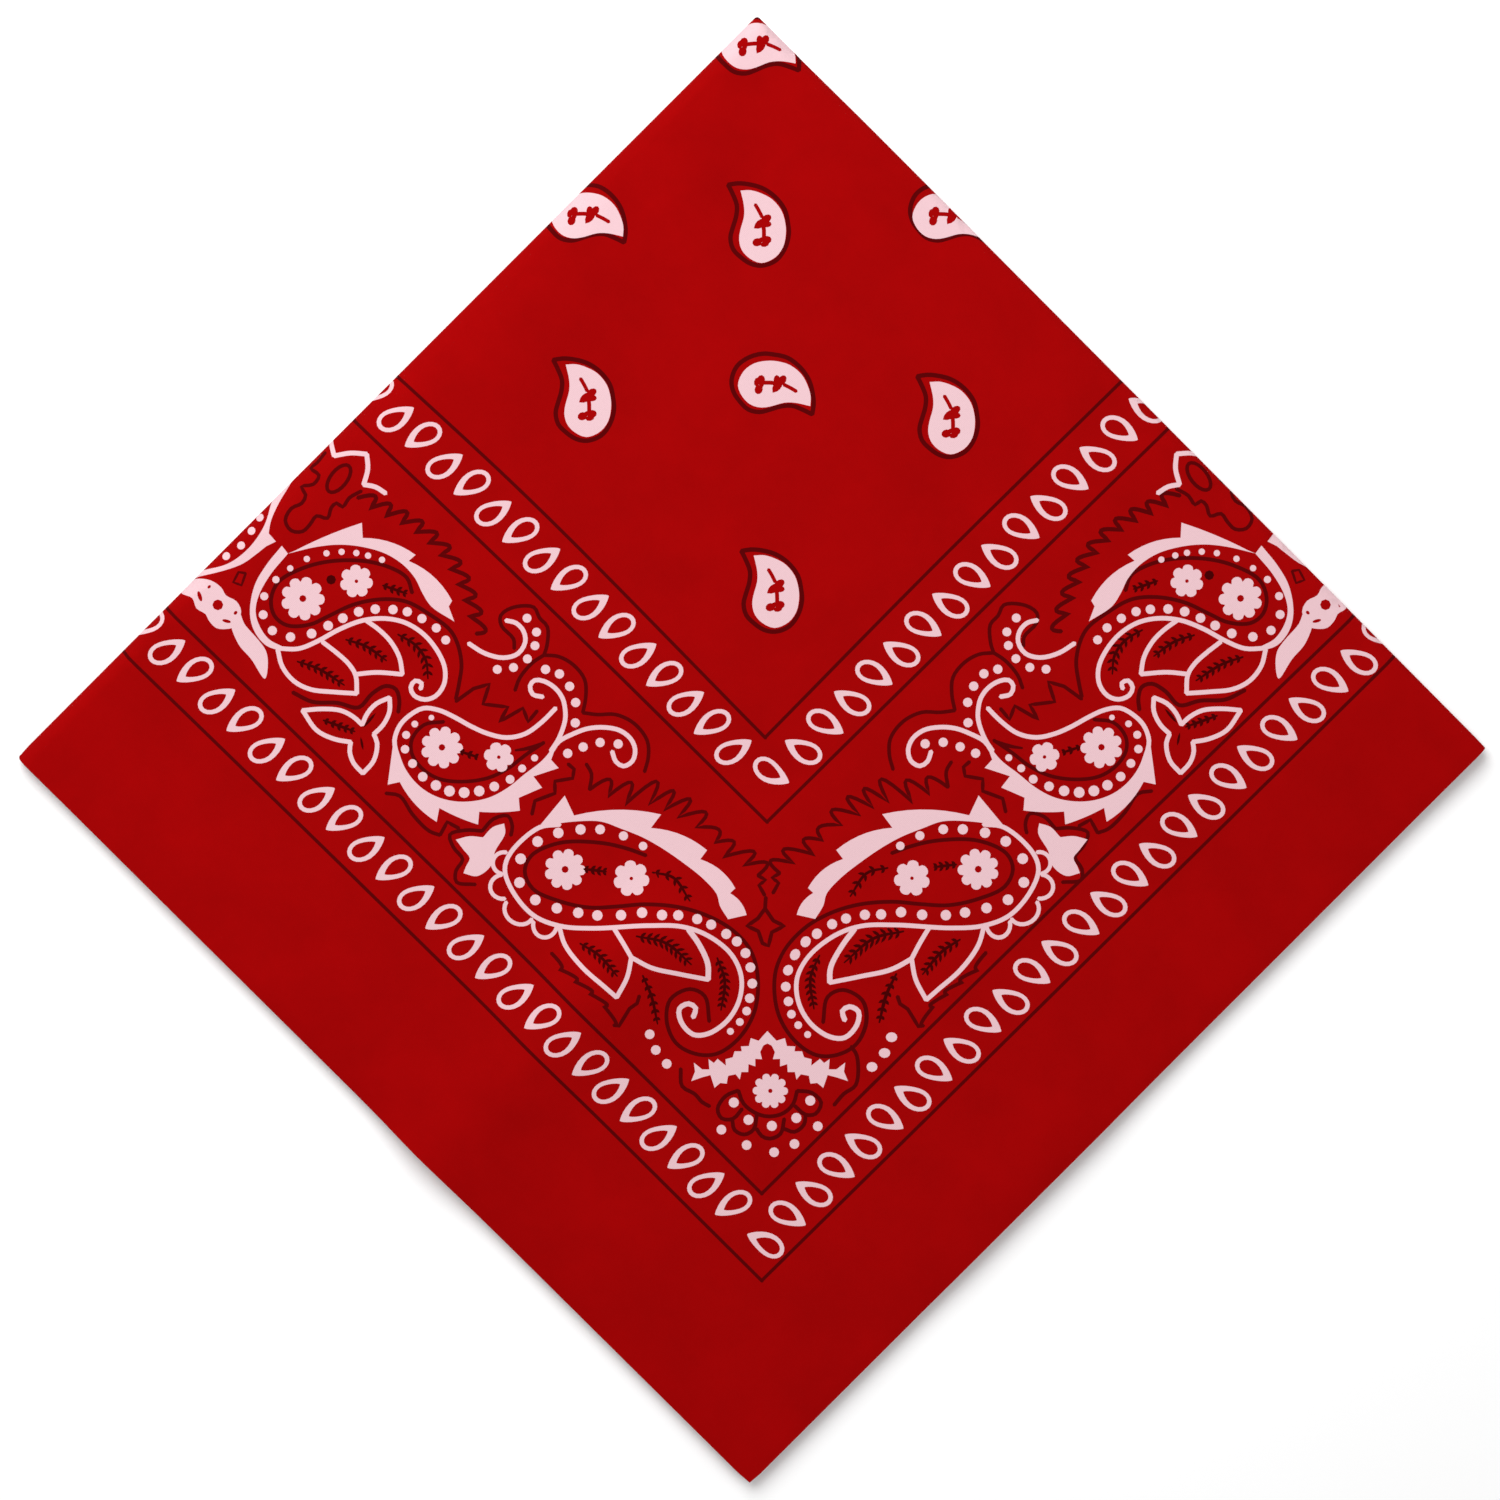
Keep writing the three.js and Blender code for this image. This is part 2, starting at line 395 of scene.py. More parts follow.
class Print:
    """Ink shapes in the order they are laid on the cloth."""

    def __init__(self, sizes):
        self.sizes = sizes
        self.layers = [[], [], [], []]

    def add(self, layer, ink, shape, mirror=True):
        self.layers[layer].append((ink, shape))
        if mirror:
            self.layers[layer].append((ink, to_right(shape, ink)))

    def line(self, layer, ink, points, widths, mirror=True):
        self.add(layer, ink, stroke(smooth_curve(points), widths), mirror)

    def white(self, points, widths):
        self.line(1, WHITE, points, widths)

    def dark(self, points, widths, mirror=True):
        self.line(0, DARK, points, widths, mirror)

    def corners(self, points, width=1.0, mirror=True):
        """Dark line with sharp turns."""
        self.add(0, DARK, stroke(straight(points, 1.6), width), mirror)

    def dots(self, points, radius, mirror=True):
        for point in points:
            self.add(1, WHITE, disc(point, radius), mirror)

    def dot_row(self, points, radii):
        radii = np.interp(np.arange(len(points)), np.linspace(0, len(points) - 1, len(radii)), radii)
        for point, radius in zip(points, radii):
            self.add(1, WHITE, disc(point, radius))

    def flower(self, centre, radius, petals, hole):
        self.add(1, WHITE, blossom(centre, radius, petals))
        self.add(2, RED, disc(centre, hole, 8))

    def vein(self, points, leaflets, reach=1.7):
        """Black midrib with short leaflets on both sides."""
        path = smooth_curve(points, 1.0)
        self.add(3, BLACK, stroke(path, VEIN_WIDTHS))
        shares = np.linspace(0.08, 0.88, leaflets + 1)
        at, sides = on_curve(path, shares)
        for k, (point, side) in enumerate(zip(at, sides)):
            ahead = np.array([side[1], -side[0]])
            size = reach * (0.75 + 0.4 * math.sin(math.pi * shares[k]))
            for hand in (1, -1):
                tip = point + ahead * size * 0.7 + side * hand * size * 0.9
                self.add(3, BLACK, leaf(point - ahead * 0.3, tip, 0.42, 0.42, 3))

    def scallop(self, start, end, depth):
        """Half-round white loop from one point to another, bulging to the left."""
        start, end = np.asarray(start, dtype=float), np.asarray(end, dtype=float)
        run = end - start
        turn = np.linspace(0, math.pi, 13)[:, None]
        loop = start + run * (1 - np.cos(turn)) / 2 + left_of(run) * np.sin(turn) * depth
        self.add(1, WHITE, stroke(loop, self.sizes.print_line / MM * 0.9))

    def shapes(self):
        return [shape for layer in self.layers for shape in layer]


# Right half of the print: the left half turned over, the dark ink a little off the white. Low in the
# print it also draws inward and down, from one height and from one distance off the middle.
MIRROR_SHIFT = {WHITE: (10.5, 0.05), RED: (10.5, 0.05), DARK: (9.0, 0.6), BLACK: (9.7, 1.2)}
LOW_SHIFT = {"below": -48.0, "inside": -32.0, "reach": 12.0, "inward": 1.4, "down": 0.9}


def to_right(shape, ink):
    across, up = MIRROR_SHIFT[ink]
    x, y = shape[:, 0], shape[:, 1]
    low = smoothstep((LOW_SHIFT["below"] - y) / LOW_SHIFT["reach"])
    inward = LOW_SHIFT["inward"] * low * smoothstep((x - LOW_SHIFT["inside"]) / LOW_SHIFT["reach"])
    return np.stack([across - x - inward, up + y - LOW_SHIFT["down"] * low], axis=1)[::-1]


def frame_lines(ink):
    """Four thin lines that turn at the print's corner, a little bowed on the way."""
    width = ink.sizes.frame_line / MM
    for left, left_middle, corner, right_middle, right in (
        ((-98.8, 103.2), (-58, 65.2), (3.5, 3), (50.0, 50.2), (101.9, 101.3)),
        ((-111, 92.3), (-50.4, 34.2), (4, -19.4), (56.4, 32.2), (114.3, 88.7)),
        ((-163.9, 45.5), (-76.3, -39.8), (2.6, -118.1), (79.7, -42.3), (165.1, 40.4)),
        ((-176.3, 34.7), (-82.2, -57.1), (2.6, -141.2), (86.5, -58.6), (178.6, 32.5)),
    ):
        for run in ((left, left_middle, corner), (corner, right_middle, right)):
            path = smooth_curve(run, 3.0)
            ahead = unit(path[-1] - path[-2]) * width * FRAME_OVERLAP
            ink.add(0, DARK, stroke(np.vstack([path[:-1], path[-1:] + ahead]), width), False)


def drop_ring(ink, centre, angle, flip=1):
    length, width, line = ink.sizes.drop_length / MM, ink.sizes.drop_width / MM, ink.sizes.drop_line / MM
    outer = drop(length, width, curl=1.1)
    middle = centroid(outer)
    inner = drop(length - line * 3.2, width - line * 2, curl=0.7, samples=18)
    inner = inner - np.array([line * 0.62, -0.03])
    ink.add(1, WHITE, placed(outer - middle, centre, angle, flip), False)
    ink.add(2, RED, placed(inner - middle, centre, angle, flip), False)


def drop_rows(ink):
    """Rows of drops that point out and back by turns. Each half row has the number and place of a
    few of its drops, with the others evenly between them."""
    out, back = math.radians(20), math.radians(200)
    for turn, flip, numbers, across, down in (
        (out, 1, (-1, 0, 7, 11), (-168.7, -155.6, -63.1, -12.5), (38.4, 25.8, -65.6, -115.7)),
        (back, 1, (-1, 0, 7, 11), (-160.7, -147.5, -55.1, -4.6), (33.6, 20.9, -71.0, -120.7)),
        (out, 1, (-1, 0, 4, 7), (-107.9, -94.9, -43.2, -5.3), (100.2, 87.6, 37.7, -0.7)),
        (back, 1, (-1, 0, 3, 6), (-99.9, -86.9, -48.2, -10.2), (95.8, 83.2, 45.3, 7.0)),
        (-out, -1, (-1, 0, 2, 8, 11), (175.0, 161.4, 134.0, 56.1, 16.8), (35.7, 23.1, -2.3, -80.0, -118.1)),
        (-back, -1, (-1, 0, 2, 8, 11), (166.6, 153.1, 126.1, 48.0, 9.1), (31.0, 18.2, -7.4, -85.0, -123.5)),
        (-back, -1, (-1, 6), (110.2, 19.1), (97.9, 7.1)),
        (-out, -1, (-1, 6), (105.2, 14.0), (90.0, -0.7)),
    ):
        for k in range(numbers[0], numbers[-1] + 1):
            drop_ring(ink, (np.interp(k, numbers, across), np.interp(k, numbers, down)), turn, flip)
    drop_ring(ink, (4.7, -6.0), math.radians(-40))
    drop_ring(ink, (4.1, -131.5), math.radians(144))


def small_paisley(ink, centre, turn, flip, rim_shift):
    """Solid comma with a red sprig, inside a dark line that was printed a little off it."""
    solid = smooth_curve([
        (-5.5, 9.8), (-2.8, 9.9), (0.2, 9), (3, 7.4), (5.4, 4.4), (6.4, 1), (6.5, -1.8), (5.8, -5.1),
        (3.7, -7.9), (0, -9.4), (-3.2, -8.1), (-5.2, -5.9), (-5.9, -3.2), (-5.6, -0.8), (-4.6, 2.9),
        (-4.6, 5.7), (-5.5, 9.8)])
    rim = smooth_curve([
        (-8.8, 11.3), (-6.3, 11.7), (-3.5, 11.5), (0.2, 10.5), (3.5, 8.3), (6.2, 4.8), (7.1, 1),
        (7.3, -1.8), (6.3, -5.5), (3.9, -8.7), (0.2, -10.1), (-2.8, -9.6), (-5.4, -7.9), (-7.5, -5.7),
        (-8.2, -2.7), (-7.6, -0.1), (-6.7, 2.9), (-6.5, 5.9), (-7.6, 8.9), (-8.8, 11.3)])
    ink.add(0, DARK, placed(stroke(rim, 1.2), np.add(centre, rim_shift), turn, flip), False)
    ink.add(1, WHITE, placed(solid[:-1], centre, turn, flip), False)
    for shape in (
        stroke(smooth_curve([(-1.6, 6.1), (-0.7, 4.6), (0.2, 2.8)]), 1.0),
        oval((1.3, 2.3), 3.1, 2.1, 0.6, 10), oval((1.2, 1.0), 3.1, 1.9, -0.1, 10),
        leaf((1.8, 2.4), (-2.0, -0.2), 1.1, 1.1, 5),
        stroke(smooth_curve([(0.5, 1.2), (0.7, -0.8), (0.7, -2.6)]), 1.1),
        oval((-1.1, -3.9), 2.6, 2.2, 0.3, 10), oval((1.4, -3.3), 2.7, 2.2, 0.2, 10),
        oval((0.2, -3.2), 2.2, 1.4, 0.2, 8), oval((0.9, -4.4), 2.4, 1.5, 0.2, 8),
    ):
        ink.add(2, RED, placed(shape, centre, turn, flip), False)


def centre_field(ink):
    """Standing and lying paisleys of the middle; the dark ink lies up and left of the lying ones."""
    down = math.radians(-90)
    for centre, turn, flip, rim_shift in (
        ((2.5, 138.4), 0.0, 1, (0, 0)), ((-43.9, 92.2), 0.0, 1, (0, -0.3)), ((52.7, 87.6), 0.0, 1, (0, 0)),
        ((6.0, 41.5), 0.0, 1, (0, -0.3)), ((5.7, 96.5), down, -1, (-1.0, 1.1)),
        ((-44.0, 141.4), down, -1, (-1.2, 1.7)), ((52.0, 141.2), down, -1, (0.1, 1.9)),
        ((1.3, 186.4), down + 0.1, -1, (-1.0, 1.2)),
    ):
        small_paisley(ink, centre, turn, flip, rim_shift)


def trefoil(ink):
    """Solid three-pointed leaf with a dark line round it."""
    solid = np.vstack([
        smooth_curve([(-78.6, -24.1), (-75.0, -23.2), (-71.4, -23.5)], 1.05)[:-1],
        smooth_curve([(-71.4, -23.5), (-68.8, -20.8), (-65.8, -19.8)], 1.05)[:-1],
        smooth_curve([
            (-65.8, -19.8), (-65.5, -22.4), (-68.2, -27.2), (-69.4, -31.2), (-73.0, -33.8),
            (-76.6, -33.0)], 1.05)[:-1],
        smooth_curve([
            (-76.6, -33.0), (-75.9, -31.2), (-74.9, -29.0), (-76.4, -27.0), (-78.6, -24.1)], 1.05)[:-1],
    ])
    ink.dark([(-71.6, -21.8), (-68.6, -18.6), (-64.8, -17.8), (-63.6, -20.6), (-64.0, -23.0)], 1.0)
    ink.dark([
        (-71.6, -21.8), (-76.0, -21.6), (-80.2, -22.8), (-79.2, -26.2), (-76.8, -29.4), (-78.6, -32.4),
        (-78.4, -35.4), (-73.4, -36.0)], 1.0)
    ink.add(1, WHITE, solid)


def large_paisley(ink):
    """Crested paisley in the lower part of the band, with its flowers and hanging leaves."""
    line = ink.sizes.print_line / MM
    ink.add(1, WHITE, crest([
        (-56.5, -21.4), (-52.7, -20.1), (-47.2, -19.3), (-40.1, -19.3), (-34.7, -21.2), (-29.2, -23.4),
        (-24.3, -26.1), (-18.3, -30.2), (-12.9, -34.5), (-9.3, -38.6), (-8.5, -41.6),
        (-6.3, -45.2)], (-56.5, -20.6), (
            ((-49.7, -12.4), 0, (-47.2, -17.7)), ((-24.1, -17.4), 1.4, (-26.8, -21)),
            ((-11.9, -26.9), 1.3, (-13.7, -29.3)), ((-4.4, -37), 1.2, (-5.8, -38.3)),
            ((-1.4, -44.1), 0.8, None))))
    low = smooth_curve([
        (-51, -20.1), (-56.5, -20.9), (-64, -27.5), (-65.6, -32), (-63.6, -37.7), (-58, -44.2),
        (-51, -47), (-42.5, -47.6), (-27.5, -46.8), (-18.5, -47.1), (-11.5, -49.6), (-5.4, -54.6),
        (-2.8, -60.6), (-3.4, -66.8), (-6.6, -72.2), (-11.6, -75.6), (-15.6, -75.8), (-18.8, -72.4),
        (-19.2, -68.9), (-16.8, -67.6), (-14.9, -68.8), (-15.6, -71.2)])
    ink.add(1, WHITE, stroke(low, (line, line, line, line, line * 1.15)))
    ink.dot_row((
        (-28.9, -25.8), (-34.1, -23.1), (-40.3, -21.4), (-45.5, -21.4), (-51.4, -22.3), (-56.9, -24.6),
        (-61.4, -29.2), (-61.7, -35.5), (-57.5, -40.1), (-51.8, -42.3), (-46.1, -43.5), (-41, -44.2),
        (-34.7, -44.1), (-29.1, -43.4), (-23.8, -44), (-19.5, -44.1), (-14.5, -45.1), (-10.8, -46.6),
        (-6.8, -49.1), (-4, -51.1), (-1.7, -54.2), (-0.4, -58), (0.1, -62.3), (-0.6, -66.2),
        (-1.4, -69.6), (-3.2, -72.5), (-5.7, -75)),
        (1.15, 1.4, 1.45, 1.4, 1.4, 1.35, 1.35, 1.3, 0.93))
    ink.flower((-49.6, -32), 5.5, 9, 0.95)
    ink.flower((-32, -34.4), 4.8, 7, 0.5)
    for start, end, depth in (
        ((-66.4, -33.2), (-65.2, -27.5), 3.0), ((-65.6, -39.8), (-66.4, -33.4), 3.5),
        ((-58.4, -45.2), (-65.2, -40.7), 3.5), ((-51.8, -47.3), (-58, -45.9), 3.5),
    ):
        ink.scallop(start, end, depth)
    ink.white([(-51.2, -47), (-49.6, -52), (-45, -57.8), (-39, -63.0), (-35.8, -65.8)], line)
    ink.white([(-35.8, -65.8), (-33, -60.4), (-31.9, -55.2)], line)
    ink.white([(-31.9, -55.2), (-34, -51.6), (-36.6, -47.5)], line)
    ink.white([(-31.9, -55.2), (-26.5, -58), (-19.6, -59.6), (-11.6, -61.2)], line)
    ink.white([(-11.6, -61.2), (-11.7, -57), (-14, -51.8), (-16.8, -47.8)], line * 1.2)
    ink.vein([(-45.6, -51.6), (-40.4, -54.8), (-35.6, -60.2)], 6)
    ink.vein([(-30.6, -49.6), (-22.8, -51.4), (-16, -57.2)], 8, 1.9)
    ink.vein([(-26.4, -32.8), (-20.8, -34.2), (-16.4, -40.4)], 4, 1.5)
    ink.vein([(-44.6, -31.9), (-38.6, -32.6)], 3, 1.3)
    ink.vein([(-9.2, -55.4), (-7.2, -61.6), (-8.2, -69.4)], 7, 1.5)
    ink.vein([(-28.9, -60), (-26.6, -65.6), (-25, -73)], 5, 1.2)
    ink.dark([
        (-28.1, -28.3), (-33.4, -26.4), (-40.6, -24.9), (-51.2, -25), (-58.6, -28.4), (-60.3, -32.6),
        (-58.1, -37.2), (-51.2, -40.4), (-43.3, -42.1), (-35.6, -41.8), (-28.5, -41.2), (-19.6, -41.9),
        (-11.9, -44.2), (-5, -48.2), (-0.3, -53.6), (1.6, -61), (0.6, -70), (-3.6, -77), (-9.5, -81),
        (-15.2, -80.9), (-20.2, -78), (-22.6, -72.2), (-21.6, -66.4), (-16.5, -63.7), (-12.5, -65.6),
        (-11.3, -72.4)], 1.05)
    ink.add(0, DARK, stroke(leaning_arches([
        (-53.2, -54.2), (-51.4, -57.6), (-45.6, -62.4), (-38.8, -68.4), (-36.6, -73.2)], 5, 0.8), 1.0))
    ink.corners([(-36.6, -73.2), (-35.2, -73.4), (-32.4, -68.8), (-30.4, -67.4), (-29.8, -65.4)])
    ink.dots([(-27.1, -75.7), (-25.5, -79.9), (-22.6, -83.6)], 1.3)
    ink.add(0, DARK, stroke(arches([
        (-43.1, -10.8), (-37.4, -11.6), (-32.5, -13.3), (-26.2, -13.5), (-22.1, -15.2), (-18.3, -17.4),
        (-13.7, -20.4), (-9.1, -24.4), (-6.3, -28), (-1.1, -30.4), (1.6, -33.6)], [
        (-37.7, -8.1), (-32, -8.9), (-25.4, -8.6), (-20.8, -11.1), (-16.4, -13.3), (-12.3, -16.8),
        (-8.8, -21.4), (-4.7, -24.7), (0.5, -27.2), (4, -30.2)]), 1.0))
    ink.dark([(-44, -4), (-42.6, -6.6), (-43.1, -10.8)], 1.0)
    ink.corners([(1.6, -33.6), (3.6, -34.8), (1.9, -36.2), (3.4, -38.9)])
    trefoil(ink)


def corner_spray(ink):
    """Serrated leaf over a flower at the corner of the print, with loops and dots below."""
    half = np.asarray([
        (4.1, -74.9), (1.8, -77.5), (-0.3, -76.8), (-0.8, -78.9), (-2.9, -79.0), (-2.7, -80.3),
        (-4.6, -80.3), (-5.1, -81.9), (-7.0, -82.4), (-6.9, -84.1), (-9.1, -82.3), (-10.1, -83.4),
        (-11.5, -82.4), (-11.3, -85.1), (-13.2, -85.1), (-15.4, -83.3), (-15.1, -85.7), (-16.1, -88.2),
        (-13.2, -87.2), (-11.0, -86.6), (-10.6, -87.9), (-9.9, -90.0), (-8.4, -88.7), (-6.7, -88.9),
        (-6.3, -86.8), (-4.3, -86.4), (-3.2, -87.8), (-2.8, -85.8), (-1.0, -85.8), (-0.9, -83.7),
        (0.9, -84.3), (0.9, -82.3), (2.7, -82.4), (2.2, -80.5), (3.0, -78.8), (4.1, -78.2)])
    other = half[::-1].copy()
    other[:, 0] = 4.1 + (4.1 - other[:, 0]) * 1.06
    ink.add(1, WHITE, np.vstack([half, other[1:-1]]), False)
    ink.add(1, WHITE, blossom((4.9, -90.8), 4.7, 10), False)
    ink.add(2, RED, disc((4.9, -90.8), 0.6, 8), False)
    for points in (
        [(-3.6, -90.7), (-2.2, -94.2), (1.2, -96.8), (4.6, -97.6), (8.4, -96.7), (11, -94.2), (12, -90.8)],
        [(-3.6, -90.7), (-7.0, -92.2), (-9.1, -95.6), (-8.0, -98.1), (-5.0, -98.2), (-2.6, -95.6)],
        [(-5.2, -98.6), (-4.6, -101.2), (-2.0, -102.4), (0.5, -101.0), (1.3, -97.2)],
        [(1.2, -100.8), (2.6, -102.8), (4.8, -103.5), (7.6, -102.2), (8.6, -98.2)],
        [(8.4, -100.8), (11.3, -101.7), (13.8, -99.8), (14.3, -97.0)],
        [(12, -90.8), (15.9, -91.3), (18.4, -93.9), (16.9, -96.9), (14.2, -97.1), (11.4, -94.8)],
    ):
        ink.dark(points, 1.05, False)
    ink.dots([(-4.8, -93.9), (-0.9, -98.5), (5.3, -100.1), (11.8, -98.0), (15.5, -93.4)], 1.35, False)
    ink.dots([(-8.1, -101.1), (-1.4, -105.2), (5.9, -107.1), (11.3, -104.9), (17.5, -100.2)], 1.3, False)
    ink.dark([(-18.9, -84.9), (-18.5, -89.6), (-15.2, -91.6), (-13.2, -93.8), (-11.2, -94.9)], 1.05, False)
    ink.dark([(26.4, -79.0), (27.9, -81.6), (27.6, -89.2), (24.4, -91.6), (21.8, -94.6)], 1.05, False)
    ink.corners([
        (3.7, -39.4), (3.5, -42.4), (1.6, -45), (-1.3, -47), (1.7, -48.4), (2.8, -51.6), (4.4, -52.3),
        (5.3, -48.7), (8.6, -47), (5.7, -45.6), (3.5, -42.4)], 1.05, False)


def upper_paisley(ink):
    """Crested paisley near the fold, lying with its bulb outwards."""
    line = ink.sizes.print_line / MM
    around = smooth_curve([
        (-126, 26.7), (-120.4, 26.6), (-115.5, 28.5), (-109.4, 31.8), (-103.3, 34.1), (-97.2, 34.6),
        (-91.8, 33.4), (-86.9, 30.2), (-83.2, 25.5), (-81.5, 21.2), (-81.8, 17), (-84, 14),
        (-86.9, 13.1), (-89.7, 14.2), (-90.6, 16.3), (-89.4, 18.1), (-87.7, 17.4), (-88, 15.9)])
    ink.add(1, WHITE, stroke(around, line))
    ink.add(1, WHITE, np.vstack([
        smooth_curve([
            (-124.7, 53.9), (-128.9, 48.7), (-132, 43.2), (-133.2, 35.9), (-132, 31.1), (-128.9, 27.4),
            (-125.3, 26.1)]),
        smooth_curve([
            (-124.7, 27.2), (-128.3, 29.2), (-130.8, 32.9), (-131.7, 36.5), (-130.8, 40.8), (-127.7, 46.3),
            (-123.1, 51.8)])]))
    ink.add(1, WHITE, crest([
        (-123.1, 51.8), (-115.5, 53.6), (-109.4, 54.2), (-103.3, 53.6), (-97.2, 51.8), (-92.4, 48.7),
        (-89.3, 45.1), (-87.5, 41.4), (-85.1, 37.8), (-79, 33.8)], (-121, 52.7), (
            ((-103.5, 60), 0.4, (-103.3, 56)), ((-89.3, 51.5), 1.2, (-91.1, 49.9)),
            ((-79.6, 39.3), 1.4, (-80.5, 37.8)))))
    ink.dot_row((
        (-98.2, 50.2), (-101.9, 51.3), (-105, 52), (-108.9, 52.3), (-112.9, 51.9), (-118.1, 50.4),
        (-122.5, 47.9), (-126.3, 44.9), (-129.4, 40.5), (-129.7, 35.6), (-127.3, 31.4), (-122.5, 29.7),
        (-116.9, 30.6), (-112.5, 32.7), (-108.6, 34.7), (-104.4, 36.4), (-100, 37.1), (-95.3, 37),
        (-91.5, 36.4), (-87.6, 34.6), (-83.8, 32.1),
        (-81.3, 28.9)), (0.85, 0.85, 0.85, 1.2, 1.3, 1.3, 1.25, 1.2))
    ink.flower((-119.2, 39.9), 5.8, 9, 0.95)
    ink.flower((-105, 44.5), 4.4, 7, 0.5)
    ink.add(3, BLACK, disc((-111.7, 44.9), 1.3, 8))
    ink.vein([(-98, 43.4), (-91.6, 41.2)], 3, 1.3)
    ink.dark([
        (-90.2, 41.4), (-91.6, 45.4), (-96.2, 48.2), (-103.3, 49.9), (-112.5, 49.7), (-119.8, 47.7),
        (-125.7, 44.2), (-127.6, 39.6), (-126.7, 35.3), (-123.4, 32.8), (-117.4, 33), (-112.5, 35.2),
        (-105.8, 38.3), (-98.5, 39.7), (-91.8, 39.1), (-85.1, 35.4), (-80.2, 31.6), (-78.2, 28),
        (-77.1, 22.5), (-77.7, 17.6), (-78.6, 13.2)], 1.05)
    ink.white([
        (-125.9, 26.4), (-124.7, 21.9), (-121.6, 18), (-117.2, 15.8), (-111, 15.1), (-104.9, 14.7)], line)
    ink.white([(-104.9, 14.7), (-105.2, 19.5), (-107, 22.5), (-110, 25.3), (-114, 28.4)], line)
    ink.white([(-105.2, 19.8), (-99.7, 20.3), (-92.8, 19.8)], line)
    ink.white([(-92.8, 19.8), (-93.6, 24.3), (-96, 28.6), (-99.1, 31.7), (-102.3, 34)], line)
    ink.vein([(-120.7, 23.2), (-115, 21.2), (-108.2, 16.9)], 6, 1.5)
    ink.vein([(-107.8, 29), (-102.4, 27.2), (-97, 23.4)], 5, 1.5)
    ink.vein([(-94, 30.4), (-89.4, 27.6), (-86.6, 23.6), (-86, 18.6)], 6, 1.7)
    ink.dark([
        (-121.9, 15), (-116.7, 12.5), (-110, 12.2), (-104.4, 11), (-100.9, 14.6), (-97.2, 16.7),
        (-94.5, 15.8), (-93.6, 12.8), (-93.9, 9.7)], 1.1)
    outlined_leaf(ink)
    knotted_ribbon(ink)
    cut_paisley(ink)


def outlined_leaf(ink):
    """Three-pointed leaf drawn in outline."""
    line = ink.sizes.print_line / MM
    for points in (
        [(-119.3, 10.2), (-114.3, 10.6), (-109.2, 10.2), (-105.8, 8.5), (-103.5, 6.4)],
        [(-103.5, 6.4), (-102.1, 9.4), (-99.7, 12), (-96.2, 13.6)],
        [(-96.2, 13.6), (-96.2, 10), (-97.9, 6.4), (-100.4, 3.9)],
        [(-100.4, 3.9), (-99.5, 1.5), (-100.4, -3.1), (-103.3, -6.5)],
        [(-103.3, -6.5), (-105.8, -3.7), (-106.8, -0.6), (-106.5, 1.8)],
        [(-106.5, 1.8), (-110.8, 2.6), (-115.5, 4.9), (-119.3, 10.2)],
    ):
        ink.white(points, line)
    ink.vein([(-113.8, 7.6), (-105.4, 4.6)], 4, 1.2)
    ink.add(3, BLACK, leaf((-103.2, 5.6), (-99.8, 9.6), 0.4, 0.4, 4))
    ink.add(3, BLACK, leaf((-103.9, 3.2), (-103.2, -0.4), 0.35, 0.35, 4))


def knotted_ribbon(ink):
    """Knot and tail that come out from under the fold."""
    ink.add(1, WHITE, smooth_curve([
        (-152, 44.0), (-148.5, 45.2), (-143.6, 44.7), (-140.8, 42.8), (-139.5, 40.7), (-136.8, 39.2),
        (-135.5, 36.4), (-137.4, 32.4), (-139.5, 31.8), (-142.2, 32.1), (-144.2, 34.2), (-144.9, 35.7),
        (-147.4, 37.3), (-148.5, 40), (-152, 41.6)], 1.2, True))
    ink.add(1, WHITE, smooth_curve([
        (-138.2, 34), (-136, 36), (-134.7, 33.2), (-131, 28.9), (-129, 26), (-128.5, 22.6),
        (-129.3, 18.6), (-132.9, 23.8), (-136.4, 28)], 1.2, True))
    for shape in (
        oval((-146.5, 40.5), 2.9, 1.1, -1.25, 10), oval((-139.4, 33.9), 2.4, 0.9, -0.25, 10),
        oval((-141.7, 38.2), 2.9, 2.9, 0.8, 8), oval((-144, 43), 1.1, 0.8, 0.8, 8),
        oval((-137, 36.1), 1.2, 0.9, 0.8, 8),
    ):
        ink.add(2, RED, shape)


